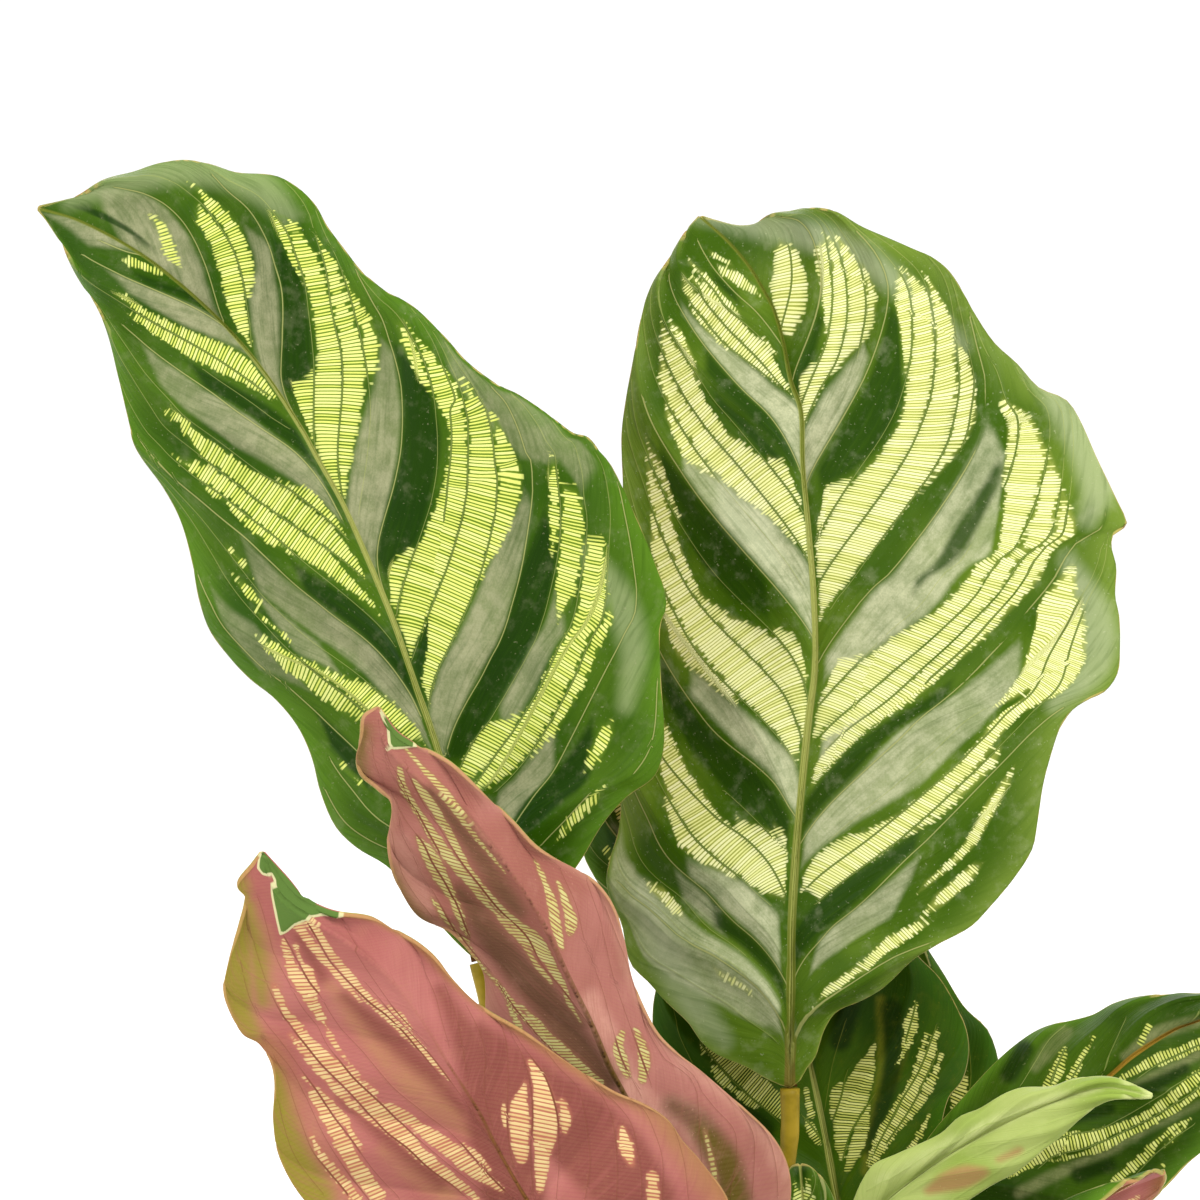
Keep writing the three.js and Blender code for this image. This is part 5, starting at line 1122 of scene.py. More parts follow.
            [[870, 1190], [930, 1155], [1010, 1115], [1090, 1092], [1140, 1094]],
            [[915, 1225], [980, 1182], [1050, 1138], [1100, 1108], [1142, 1097]],
        ],
        tan=[[[880, 1180, 4], [950, 1145, 7], [1040, 1105, 6], [1100, 1090, 3]]],
        dark=[
            [[930, 1190, 4], [948, 1182, 9], [968, 1176, 10], [985, 1172, 4]],
            [[1000, 1160, 2], [1020, 1150, 3]],
        ],
        wash_and_sheen=[],
    ),
}

# Distances in mm: beyond all lines and fields, and the reach within which a line is passed
FAR = 9.0
LINE_REACH = 1.6
# The depth, in pixels, of points that lie in no stroke or outline
NO_DEPTH = -100 * FAR

# A tip folded over its own underside stands this proud, over this much of slope
FOLD_RISE = 0.4
FOLD_SLOPE = 0.8

# The pixels of the front view in which a drawn pattern holds that has no seen of its own
PHOTO_REACH = [0, 0, 1205, 1205]

# Points of a smooth line for each point that it is given by: in the front view and beside the rib
DRAWN_STEPS = 4
BESIDE_RIB_STEPS = 5
# Points of the middle line of a pleat and of the rib and the margin, for measuring
MIDDLE_STOPS = 160
EDGE_STOPS = 500
# A band's guide runs on by this many of its own steps beyond both ends
GUIDE_BEYOND = 8
# Points are measured in this many batches, which saves memory
BATCHES = 40

# A field of stations ends this far beyond the first and last one, more softly than at its sides
FIELD_END_REACH = 0.5
FIELD_END_SHARE = 0.6
# A small vein that comes this far out runs on to the last t, this much further along the leaf
VEIN_RUNS_ON_FROM = 0.6
VEIN_LAST_T = 0.97
VEIN_LAST_SHIFT = 0.1
CREASE_STOPS = (0.02, 0.5, 0.98)

# Hatch lines are followed to the middle of their pleat in steps, and never lean more than this
HATCH_STEPS = 8
STEEPEST_LEAN = 3
# For leaves without their own values, in mm: from one hatch line to the next, and half of the rib's width
# at the foot and the tip. Neighbouring places are taken to lie at least SMALLEST_WIDTH apart
HATCH_PITCH = 0.64
RIB_HALF_WIDTH = [0.9, 0.35]
RIB_TAPER_POWER = 0.8
SMALLEST_WIDTH = 0.3
# A step that is small enough to measure a slope with, and a length that keeps a divisor from being zero
NUDGE = 1e-3
TINY = 1e-6

# On leaves with a typical pattern, stations stray this far, and the field at the tip is shorter
STATION_STRAY = 0.06
TIP_FIELD_SHARE = 0.55


def vein_ends(creases, place):
    """Where the vein at each place between two creases starts on the rib and ends on the margin."""
    i = np.minimum(np.floor(place).astype(int), len(creases) - 2)
    part = (place - i)[..., None]
    ends = creases[i] * (1 - part) + creases[i + 1] * part
    return ends[..., 0], ends[..., 1]


def flat_points(leaf, side, place, t):
    """Points of one side of a blade in its flat drawing, and how far along the blade they lie."""
    rib_fractions, margin_fractions = vein_ends(leaf["creases"][side], place)
    flat = vein_points(leaf["rib"], leaf["margins"][side], rib_fractions, margin_fractions, t)
    return flat, rib_fractions + (margin_fractions - rib_fractions) * t


def blade_points(leaf, side, place, t):
    """Points of one side of a blade's middle surface."""
    flat, along = flat_points(leaf, side, place, t)
    last_place = len(leaf["creases"][side]) - 1
    margin_rise = leaf["margin_rise"][side](along)
    rise = leaf["rib_rise"](along) + margin_rise * outward_share(t) ** MARGIN_RISE_POWER
    crown = HALF_CROWN * 4 * t * (1 - t) * np.clip(np.minimum(place, last_place - place), 0, 1)
    relief = crown + leaf["pleat"] * pleat_rise(last_place, place, t)
    return leaf["put"](flat, rise - relief if leaf.get("underside") else rise + relief)


def nearest_distance(points, line):
    """How far each point is from the nearest of a line's points."""
    distances = []
    for batch in np.array_split(points, BATCHES):
        squares = (batch[:, None] - line[None]) ** 2
        distances.append(np.sqrt(squares.sum(axis=2).min(axis=1)))
    return np.concatenate(distances)


def beside_line(points, line):
    """How far points are from a line, on which hand of it, and how far along it they come nearest."""
    steps = np.diff(line, axis=0)
    lengths = np.linalg.norm(steps, axis=1)
    apart = np.full(len(points), np.inf)
    hand, along = np.zeros(len(points)), np.zeros(len(points))
    for start, step, length, run in zip(line, steps, lengths, runs_along(line)):
        x, y = points[:, 0] - start[0], points[:, 1] - start[1]
        part = ((x * step[0] + y * step[1]) / length**2).clip(0, 1)
        distance = np.hypot(x - part * step[0], y - part * step[1])
        nearer = distance < apart
        apart[nearer] = distance[nearer]
        along[nearer] = run + part[nearer] * length
        hand[nearer] = np.sign(x * step[1] - y * step[0])[nearer]
    return apart, hand, along


def passing_lines(points, lines):
    """A value that steps up by one where each line is passed, and how far the nearest line is."""
    stepped = np.zeros(len(points))
    nearest = np.full(len(points), FAR)
    for line in lines:
        apart, hand, _ = beside_line(points, line)
        stepped += 0.5 + (hand * apart / LINE_REACH).clip(-0.5, 0.5)
        nearest = np.minimum(nearest, apart)
    return stepped, nearest


def stroke_depth(points, strokes):
    """Depth inside the deepest of some strokes of changing half width: negative outside them."""
    depth = np.full(len(points), NO_DEPTH)
    for stroke in strokes:
        dense = dense_path(stroke, DRAWN_STEPS)
        apart, _, along = beside_line(points, dense[:, :2])
        half_width = np.interp(along, runs_along(dense[:, :2]), dense[:, 2])
        depth = np.maximum(depth, half_width - apart)
    return depth


def outline_depth(points, outlines):
    """Depth inside the deepest of some closed outlines: negative outside them."""
    depth = np.full(len(points), NO_DEPTH)
    for outline in outlines:
        ends = np.array(outline + outline[:1], float)
        apart = beside_line(points, ends)[0]
        inside = np.zeros(len(points), bool)
        for (x, y), (next_x, next_y) in zip(ends, ends[1:]):
            passed = (y > points[:, 1]) != (next_y > points[:, 1])
            (low_y, low_x), (high_y, high_x) = sorted([(y, x), (next_y, next_x)])
            edge_x = np.interp(points[:, 1], [low_y, high_y], [low_x, high_x])
            inside ^= passed & (points[:, 0] < edge_x)
        depth = np.maximum(depth, np.where(inside, apart, -apart))
    return depth


def drawn_measures(drawn, flat):
    """A drawn pattern's measures at points of the front view, in mm.

    They are the run along a guide, the depth in a band, the small veins passed, the distance of the
    nearest one, the depths in the tan, dark and washed fields, the dark ones partly painted shade, and the
    depth in a folded tip.
    """
    along = np.zeros(len(flat))
    depth = np.full(len(flat), NO_DEPTH)
    for band in drawn["bands"]:
        guide = dense_path(band["guide"], DRAWN_STEPS)
        before = guide[0] * (GUIDE_BEYOND + 1) - guide[1] * GUIDE_BEYOND
        after = guide[-1] * (GUIDE_BEYOND + 1) - guide[-2] * GUIDE_BEYOND
        here = stroke_depth(flat, band["strips"])
        deeper = here > depth
        depth[deeper] = here[deeper]
        apart, hand, run = beside_line(flat[deeper], np.concatenate([[before], guide, [after]]))
        along[deeper] = run + band["slant"] * apart * hand
    veins = [dense_path(vein, DRAWN_STEPS) * MM_PER_PIXEL for vein in drawn["veins"]]
    stepped, nearest = passing_lines(flat * MM_PER_PIXEL, veins)
    soft = [stroke_depth(flat, drawn[key]) * MM_PER_PIXEL for key in ("tan", "dark", "wash_and_sheen")]
    turned = outline_depth(flat, drawn.get("turned", [])) * MM_PER_PIXEL
    return [along * MM_PER_PIXEL, depth * MM_PER_PIXEL, stepped, nearest, *soft, turned]


def field_depth(stations, place, t, across, outwards):
    """Depth in mm inside a field given by its stations: negative outside it."""
    stations = np.array(stations, float)
    low = np.interp(t, stations[:, 0], stations[:, 1])
    high = np.interp(t, stations[:, 0], stations[:, 2])
    start_depth = (t - stations[0, 0]) * outwards + FIELD_END_REACH
    end_depth = (stations[-1, 0] - t) * outwards + FIELD_END_REACH
    side_depth = np.minimum((high - place) * across, (place - low) * across)
    return np.minimum(side_depth, FIELD_END_SHARE * np.minimum(start_depth, end_depth))


def line_on_side(leaf, side, line):
    """The points, in mm of the flat drawing, of a line given as [t, place]."""
    stops = dense_path(line, BESIDE_RIB_STEPS)
    last_place = len(leaf["creases"][side]) - 1
    flat = flat_points(leaf, side, stops[:, 1].clip(0, last_place), stops[:, 0].clip(0, 1))[0]
    return flat * leaf["flat_scale"]


def typical_fields(count, seed):
    """Fields of a leaf without its own lists: one hatched, one dark and one silvery field in each pleat,
    the silvery one partly painted sheen and the dark one partly painted shade.
    """
    dice = np.random.default_rng(seed)
    bands, veins, silvery, dark = [], [], [], []
    for i in range(1, count):
        a, b, c = dice.uniform(-STATION_STRAY, STATION_STRAY, 3)
        reach = TIP_FIELD_SHARE if i == count - 1 else 1
        bands.append([
            [0.08 * reach, i + 0.5 + a, i + 0.66 + a],
            [0.2 * reach, i + 0.36 + a, i + 0.78 + b],
            [0.42 * reach, i + 0.26 + b, i + 0.68 + c],
            [0.62 * reach, i + 0.2 + c, i + 0.74 + a],
            [(0.74 + c) * reach, i + 0.34, i + 0.7],
        ])
        veins.append([[0.08, i + 0.58], [0.4, i + 0.46 + a], [0.74, i + 0.48 + b]])
        silvery.append([
            [0.08, i + 0.02, i + 0.34 + a], [0.35, i + 0.02, i + 0.2 + b], [0.6, i + 0.02, i + 0.1],
        ])
        dark.append([[0.12, i + 0.8, i + 0.97], [0.35, i + 0.74 + b, i + 0.98], [0.62, i + 0.8, i + 0.97]])
    return bands, veins, silvery, dark


def lists_of_side(name, side, last_place):
    """One side's hatched fields, silvery fields partly of painted sheen and dark fields partly of painted
    shade, its small veins and its crease lines.
    """
    if name in BANDS:
        fields = [table[name][side] for table in (BANDS, SILVERY_AND_SHEEN, DARK_AND_SHADE)]
        return fields, SMALL_VEINS[name][side], CREASE_LINES[name][side]
    bands, veins, silvery, dark = typical_fields(last_place, len(name) * 10 + side)
    creases = [[[t, place] for t in CREASE_STOPS] for place in range(1, last_place)]
    return [bands, silvery, dark], veins, creases


def vein_steps(leaf, side, place, t):
    """How points move, in mm of the flat drawing: outwards along their vein, and across to the next."""
    last_place = len(leaf["creases"][side]) - 1
    t = t.clip(NUDGE, 1 - NUDGE)
    place = place.clip(NUDGE, last_place - NUDGE)

    def at(new_place, new_t):
        return flat_points(leaf, side, new_place, new_t)[0] * leaf["flat_scale"]

    outward_step = (at(place, t + NUDGE) - at(place, t - NUDGE)) / (2 * NUDGE)
    across_step = (at(place + NUDGE, t) - at(place - NUDGE, t)) / (2 * NUDGE)
    return outward_step, across_step


def widths_across(outward_step, across_step):
    """How far apart, square to themselves, the veins of neighbouring places lie."""
    turned = across_step[:, 0] * outward_step[:, 1] - across_step[:, 1] * outward_step[:, 0]
    return np.abs(turned) / np.maximum(np.linalg.norm(outward_step, axis=1), TINY)


def foot_on_middle(leaf, side, place, t, middle_place):
    """How far out the hatch line through each point gets to the middle of its pleat."""
    slant = leaf.get("slant", [0, 0])[side]
    step = (middle_place - place) / HATCH_STEPS
    for _ in range(HATCH_STEPS):
        outward_step, across_step = vein_steps(leaf, side, place, t)
        outwards = np.maximum(np.linalg.norm(outward_step, axis=1), TINY)
        square = (across_step * outward_step).sum(axis=1) / outwards
        lean = square + slant * widths_across(outward_step, across_step)
        t = t - step * (lean / outwards).clip(-STEEPEST_LEAN, STEEPEST_LEAN)
        place = place + step
    return t


def runs_along_middle(leaf, side, place, t):
    """How far from the rib, in mm, the hatch line through each point meets the middle of its pleat."""
    last_place = len(leaf["creases"][side]) - 1
    middle_place = np.minimum(np.floor(place), last_place - 1) + 0.5
    middle_t = foot_on_middle(leaf, side, place, t, middle_place)
    runs = np.zeros(len(place))
    stops = np.linspace(0, 1, MIDDLE_STOPS)
    for pleat in range(last_place):
        middle = flat_points(leaf, side, np.full(MIDDLE_STOPS, pleat + 0.5), stops)[0]
        lengths = runs_along(middle * leaf["flat_scale"])
        chosen = middle_place == pleat + 0.5
        foot = middle_t[chosen]
        runs[chosen] = np.interp(foot, stops, lengths) + (foot - foot.clip(0, 1)) * lengths[-1]
    return runs


def side_marks(name, leaf, side, place, t, flat):
    """The pattern's measures at points of one side, in mm: pairs of values by the name of their layer."""
    scale = leaf["flat_scale"]
    here = flat * scale
    outward_step, across_step = vein_steps(leaf, side, place, t)
    outwards = np.linalg.norm(outward_step, axis=1)
    across = np.maximum(widths_across(outward_step, across_step), SMALLEST_WIDTH)
    along_vein = runs_along_middle(leaf, side, place, t)

    fields, veins, creases = lists_of_side(name, side, len(leaf["creases"][side]) - 1)
    band, silvery, dark = [
        np.max([field_depth(field, place, t, across, outwards) for field in kind], axis=0)
        for kind in fields
    ]
    wash_and_sheen, turned = np.full((2, len(place)), -FAR)
    veins = [
        vein + [[VEIN_LAST_T, vein[-1][1] + VEIN_LAST_SHIFT]] if vein[-1][0] > VEIN_RUNS_ON_FROM else vein
        for vein in veins
    ]
    (veins_passed, vein_distance), (creases_passed, crease_distance) = [
        passing_lines(here, [line_on_side(leaf, side, line) for line in lines])
        for lines in (veins, creases)
    ]
    # On the two tall leaves the washed layer holds the strokes of the painted sheen
    if name in PAINTED_SHEEN:
        wash_and_sheen = stroke_depth(flat, PAINTED_SHEEN[name]) * MM_PER_PIXEL
    if name in DRAWN:
        low_x, low_y, high_x, high_y = DRAWN[name].get("seen", PHOTO_REACH)
        seen = (flat[:, 0] > low_x) & (flat[:, 0] < high_x) & (flat[:, 1] > low_y) & (flat[:, 1] < high_y)
        values = (along_vein, band, veins_passed, vein_distance, silvery, dark, wash_and_sheen, turned)
        for value, drawn in zip(values, drawn_measures(DRAWN[name], flat[seen])):
            value[seen] = drawn
        crease_distance[seen] = FAR

    fractions = np.linspace(0, 1, EDGE_STOPS)
    rib_line = leaf["rib"](fractions) * scale
    margin_line = leaf["margins"][side](fractions) * scale
    wide, narrow = leaf.get("rib_half_width", RIB_HALF_WIDTH)
    rib_half = wide + (narrow - wide) * flat_points(leaf, side, place, t)[1] ** RIB_TAPER_POWER
    return {
        "vein": (place, t),
        "hatch": (along_vein / leaf.get("pitch", HATCH_PITCH), band),
        "strip": (veins_passed, rib_half),
        "edge": (nearest_distance(here, margin_line), crease_distance),
        "side": (nearest_distance(here, rib_line), vein_distance),
        "tone": (silvery, dark),
        "more": (wash_and_sheen, creases_passed),
        "turned": (turned, np.zeros(len(place))),
    }


# Cells of a blade's mesh from one crease to the next and from the rib to the margin, smaller at the rib
CELLS = {"fine": (30, 65), "plain": (14, 25)}
ACROSS_POWER = 1.05


def strip_beside_rib(grid, stops):
    """Triangles that join the rib's own points to the first column of a side's grid."""
    strip = []
    for i in range(len(stops) - 1):
        middle = (stops[i] + stops[i + 1]) // 2
        strip += [[k, k + 1, grid[i, 0]] for k in range(stops[i], middle)]
        strip.append([grid[i, 0], middle, grid[i + 1, 0]])
        strip += [[k, k + 1, grid[i + 1, 0]] for k in range(middle, stops[i + 1])]
    return np.array(strip)


def blade_sheet(name, leaf):
    """The middle surface of a blade.

    Points are what the mesh is made of, and samples are where the pattern is measured: the rib's and the
    tip's points have a sample for each side. The sheet's dict holds its points, how far they are from
    the rib, how deep in a folded tip, its triangles and its outline by points and by samples, the number
    of the tip's point, and the layers with the pattern's measures at the samples.
    """
    cells_between, cells_across = CELLS["fine" if leaf.get("fine") else "plain"]
    across_list = np.linspace(0, 1, cells_across + 1)[1:] ** ACROSS_POWER
    places = [np.linspace(0, len(c) - 1, (len(c) - 1) * cells_between + 1) for c in leaf["creases"]]
    rib_fractions = [vein_ends(leaf["creases"][side], places[side])[0].round(5) for side in (0, 1)]
    rib_stops = np.unique(np.concatenate(rib_fractions))
    points = [leaf["put"](leaf["rib"](rib_stops), leaf["rib_rise"](rib_stops))]
    count = len(rib_stops)
    tip = count - 1
    columns = len(across_list)
    triangles, marks, outline = [], [], []
    rib_gaps, turned = [np.zeros(count)], [np.full(count, -FAR)]
    samples_before = 0
    for side in (0, 1):
        rows = len(places[side])
        creases = leaf["creases"][side]
        rib_places = np.interp(rib_stops, creases[:, 0], np.arange(len(creases)))
        grid_places = np.repeat(places[side], columns)
        grid_t = np.tile(across_list, rows)
        sample_places = np.concatenate([rib_places, grid_places])
        sample_t = np.concatenate([np.zeros(len(rib_stops)), grid_t])
        flat = flat_points(leaf, side, sample_places, sample_t)[0]
        found = side_marks(name, leaf, side, sample_places, sample_t, flat)
        marks.append(found)

        # The grid's first row lies on the foot and its last on the tip: only the rows between are new
        inner = slice(len(rib_stops) + columns, len(sample_places) - columns)
        points.append(blade_points(leaf, side, sample_places[inner], sample_t[inner]))
        rib_gaps.append(found["side"][0][inner])
        turned.append(found["turned"][0][inner])
        inner_points = count + np.arange((rows - 2) * columns)
        point_of = np.concatenate([
            np.arange(len(rib_stops)), np.zeros(columns, int), inner_points, np.full(columns, tip),
        ])
        count += len(inner_points)

        grid = len(rib_stops) + np.arange(rows * columns).reshape(rows, columns)
        strip = strip_beside_rib(grid, np.searchsorted(rib_stops, rib_fractions[side]))
        a, b = grid[:-1, :-1].ravel(), grid[1:, :-1].ravel()
        c, d = grid[:-1, 1:].ravel(), grid[1:, 1:].ravel()
        corners = np.concatenate([strip, np.stack([a, b, c], 1), np.stack([b, d, c], 1)])
        if side == 1:
            corners = corners[:, [0, 2, 1]]
        ends = point_of[corners]
        whole = (ends[:, 0] != ends[:, 1]) & (ends[:, 1] != ends[:, 2]) & (ends[:, 2] != ends[:, 0])
        triangles.append((ends[whole], corners[whole] + samples_before))
        outline.append((point_of[grid[:, -1]], grid[:, -1] + samples_before))
        samples_before += len(sample_places)
    return dict(
        points=np.concatenate(points),
        rib_gaps=np.concatenate(rib_gaps),
        turned=np.concatenate(turned),
        triangles=np.concatenate([part[0] for part in triangles]),
        samples=np.concatenate([part[1] for part in triangles]),
        outline=outline,
        tip=tip,
        layers={key: np.concatenate([np.stack(part[key], 1) for part in marks]) for key in marks[0]},
    )


def point_normals(points, triangles):
    """The normals of a surface at its points."""
    corners = points[triangles]
    face_normals = np.cross(corners[:, 1] - corners[:, 0], corners[:, 2] - corners[:, 0])
    normals = np.zeros_like(points)
    for corner in range(3):
        np.add.at(normals, triangles[:, corner], face_normals)
    return normals / np.linalg.norm(normals, axis=1)[:, None]


def face_offsets(leaf, sheet):
    """How far a blade's upper and lower face lie from its middle surface."""
    points, rib_gaps = sheet["points"], sheet["rib_gaps"]
    thinning = np.clip(rib_gaps / THINNING_WIDTH, 0, 1)
    thickness = THICKNESS_AT_RIB + (THICKNESS_AT_MARGIN - THICKNESS_AT_RIB) * thinning
    for edge_points, _ in sheet["outline"]:
        thickness[edge_points] = THICKNESS_AT_MARGIN
    from_tip = np.linalg.norm(points - points[sheet["tip"]], axis=1)
    keel_width = KEEL_WIDTH * np.clip(from_tip / KEEL_NARROWING_LENGTH, KEEL_LEAST_WIDTH_SHARE, 1)
    keel = KEEL_HEIGHT * leaf.get("keel_share", 1.0) * np.exp(-((rib_gaps / keel_width) ** 2))
    keel = keel * np.clip(from_tip / KEEL_LOWERING_LENGTH, 0, 1)
    fold = FOLD_RISE * np.clip(sheet["turned"] / FOLD_SLOPE + 0.5, 0, 1)
    return thickness / 2 - GROOVE_SHARE * keel, thickness / 2 + keel + fold


def blade_mesh(name, leaf):
    """A closed blade: points, faces, the samples at their corners, which faces are the back, layers."""
    sheet = blade_sheet(name, leaf)
    points, triangles, samples = sheet["points"], sheet["triangles"], sheet["samples"]
    normals = point_normals(points, triangles)
    front_offset, back_offset = face_offsets(leaf, sheet)
    if leaf.get("underside"):
        front_offset, back_offset = back_offset, front_offset
    fronts = points + normals * front_offset[:, None]
    backs = points - normals * back_offset[:, None]

    # The rim runs up one side from the foot to the tip and down the other, either way round
    (left_points, left_samples), (right_points, right_samples) = sheet["outline"]
    a = np.concatenate([left_points, right_points[1:-1][::-1]])
    sample_a = np.concatenate([left_samples, right_samples[1:-1][::-1]])
    b, sample_b = np.roll(a, -1), np.roll(sample_a, -1)
    edges = {(int(x), int(y)) for face in triangles for x, y in zip(face, np.roll(face, -1))}
    if (int(a[0]), int(b[0])) in edges:
        a, b, sample_a, sample_b = b, a, sample_b, sample_a
    behind = len(points)
    faces = [
        triangles, triangles[:, [0, 2, 1]] + behind,
        np.stack([a, b, a + behind], 1), np.stack([b, b + behind, a + behind], 1),
    ]
    samples_of_faces = [
        samples, samples[:, [0, 2, 1]],
        np.stack([sample_a, sample_b, sample_a], 1), np.stack([sample_b, sample_b, sample_a], 1),
    ]
    is_back = [np.full(len(part), value) for part, value in zip(faces, (0, 1, 0, 0))]
    return (
        np.concatenate([fronts, backs]), np.concatenate(faces), np.concatenate(samples_of_faces),
        np.concatenate(is_back), sheet["layers"],
    )


def add_object(name, points, faces, materials, material_of_face=None):
    """A smoothly shaded mesh object in metres, from points in mm."""
    mesh = bpy.data.meshes.new(name)
    mesh.from_pydata((np.asarray(points) * MM).tolist(), [], faces)
    mesh.polygons.foreach_set("use_smooth", [True] * len(mesh.polygons))
    for material in materials:
        mesh.materials.append(material)
    if material_of_face is not None:
        mesh.polygons.foreach_set("material_index", material_of_face)
    shown = bpy.data.objects.new(name, mesh)
    bpy.context.scene.collection.objects.link(shown)
    return shown


def add_layer(mesh, name, values):
    """A layer of pairs of values, one pair for each corner of each face."""
    layer = mesh.uv_layers.new(name=name)
    layer.data.foreach_set("uv", np.asarray(values, np.float32).ravel())


class Look:
    """A procedural material built up from numbers, colours and sockets."""

    def __init__(self, name, roughness, specular=0.5):
        self.material = bpy.data.materials.new(name)
        self.material.use_nodes = True
        self.nodes = self.material.node_tree.nodes
        self.links = self.material.node_tree.links
        self.shader = self.nodes["Principled BSDF"]
        self.shader.inputs["Roughness"].default_value = roughness
        self.shader.inputs["Specular IOR Level"].default_value = specular

    def feed(self, socket, value):
        """Links a socket to another one, or gives it a value or a colour."""
        if isinstance(value, bpy.types.NodeSocket):
            self.links.new(value, socket)
        elif isinstance(value, tuple):
            socket.default_value = (*value, 1) if len(value) == 3 and socket.type == "RGBA" else value
        else:
            socket.default_value = value

    def feed_all(self, node, values):
        """Feeds a node's first sockets and gives its first output."""
        for socket, value in zip(node.inputs, values):
            self.feed(socket, value)
        return node.outputs[0]

    def maths(self, operation, a, b=0.0):
        node = self.nodes.new("ShaderNodeMath")
        node.operation = operation
        return self.feed_all(node, (a, b))

    def times(self, *values):
        product = values[0]
        for value in values[1:]:
            product = self.maths("MULTIPLY", product, value)
        return product

    def plus(self, *values):
        total = values[0]
        for value in values[1:]:
            total = self.maths("ADD", total, value)
        return total

    def minus(self, a, b):
        return self.maths("SUBTRACT", a, b)

    def size_of(self, value):
        return self.maths("ABSOLUTE", value)

    def beside_half(self, value):
        """How far the part of a value behind its point lies from a half."""
        return self.size_of(self.minus(self.maths("FRACT", value), 0.5))

    def ramp(self, value, start, end, low=0.0, high=1.0):
        """Goes smoothly from low to high as the value goes from start to end."""
        node = self.nodes.new("ShaderNodeMapRange")
        node.interpolation_type = "SMOOTHSTEP"
        return self.feed_all(node, (value, start, end, low, high))

    def mix(self, share, a, b):
        return self.feed_all(self.nodes.new("ShaderNodeMixRGB"), (share, a, b))

    def vector(self, x, y, z=0.0):
        return self.feed_all(self.nodes.new("ShaderNodeCombineXYZ"), (x, y, z))

    def layer(self, name):
        """The two values of a mesh layer."""
        source = self.nodes.new("ShaderNodeUVMap")
        source.uv_map = name
        split = self.nodes.new("ShaderNodeSeparateXYZ")
        self.links.new(source.outputs[0], split.inputs[0])
        return split.outputs[0], split.outputs[1]

    def spot(self):
        """The place on the object, in metres."""
        return self.nodes.new("ShaderNodeTexCoord").outputs["Object"]

    def noise(self, vector, scale, detail=2.0, roughness=0.5):
        node = self.nodes.new("ShaderNodeTexNoise")
        self.feed(node.inputs["Vector"], vector)
        self.feed(node.inputs["Scale"], scale)
        self.feed(node.inputs["Detail"], detail)
        self.feed(node.inputs["Roughness"], roughness)
        return node.outputs[0]

    def dice(self, vector):
        """A random value for each whole-number vector."""
        node = self.nodes.new("ShaderNodeTexWhiteNoise")
        node.noise_dimensions = "3D"
        self.feed(node.inputs["Vector"], vector)
        return node.outputs[0]

    def bump(self, height, distance):
        node = self.nodes.new("ShaderNodeBump")
        node.inputs["Strength"].default_value = 1.0
        node.inputs["Distance"].default_value = distance
        self.links.new(height, node.inputs["Height"])
        self.links.new(node.outputs[0], self.shader.inputs["Normal"])

    def colour(self, value):
        self.feed(self.shader.inputs["Base Color"], value)


# Leaf colours are given as they look in bright light, so the leaf's own ones are this much deeper
LEAF_SHARE = 0.6


def rgb(code, share=1.0):
    """A colour given as red, green and blue from 0 to 255, as the renderer's linear values."""
    linear = [(v / 255 / 12.92) if v <= 10 else ((v / 255 + 0.055) / 1.055) ** 2.4 for v in code]
    return tuple(share * value for value in linear)


# In these colours, silvery is a grey tone with painted sheen and dark is a dark tone with painted shade
UPPER = dict(
    ground=(84, 116, 26), ground_deep=(54, 88, 8), silvery=(168, 172, 130), dark=(30, 62, 4),
    wash_and_sheen=(70, 80, 8), hatch=(228, 236, 116), hatch_pale=(240, 244, 154), between=(88, 112, 18),
    small_vein=(86, 110, 32), vein_light=(160, 168, 92), crease=(172, 172, 104),
    rib=(160, 164, 84), rib_deep=(108, 118, 38), rib_foot=(112, 92, 34),
    margin=(214, 186, 110), rim=(96, 138, 34), turned=(184, 108, 96), turned_margin=(214, 186, 110),
)
UNDER = dict(
    ground=(194, 119, 112), ground_deep=(174, 99, 94), silvery=(184, 128, 94), dark=(138, 74, 66),
    wash_and_sheen=(150, 142, 46), hatch=(230, 194, 132), hatch_pale=(240, 212, 150), between=(194, 120, 96),
    small_vein=(128, 74, 52), vein_light=(132, 78, 54), crease=(150, 92, 66),
    rib=(134, 90, 44), rib_deep=(108, 70, 32), rib_foot=(116, 74, 34),
    margin=(200, 156, 100), rim=(170, 130, 62), turned=(98, 128, 58), turned_margin=(224, 218, 164),
)
YOUNG = dict(
    ground=(184, 198, 112), ground_deep=(152, 176, 74), silvery=(204, 214, 138), dark=(184, 142, 92),
    wash_and_sheen=(152, 176, 74), hatch=(206, 218, 138), hatch_pale=(212, 222, 146), between=(190, 206, 116),
    small_vein=(176, 196, 102), vein_light=(172, 192, 98), crease=(176, 196, 102),
    rib=(206, 216, 136), rib_deep=(182, 200, 108), rib_foot=(190, 200, 116),
    margin=(216, 222, 150), rim=(182, 200, 104),
)

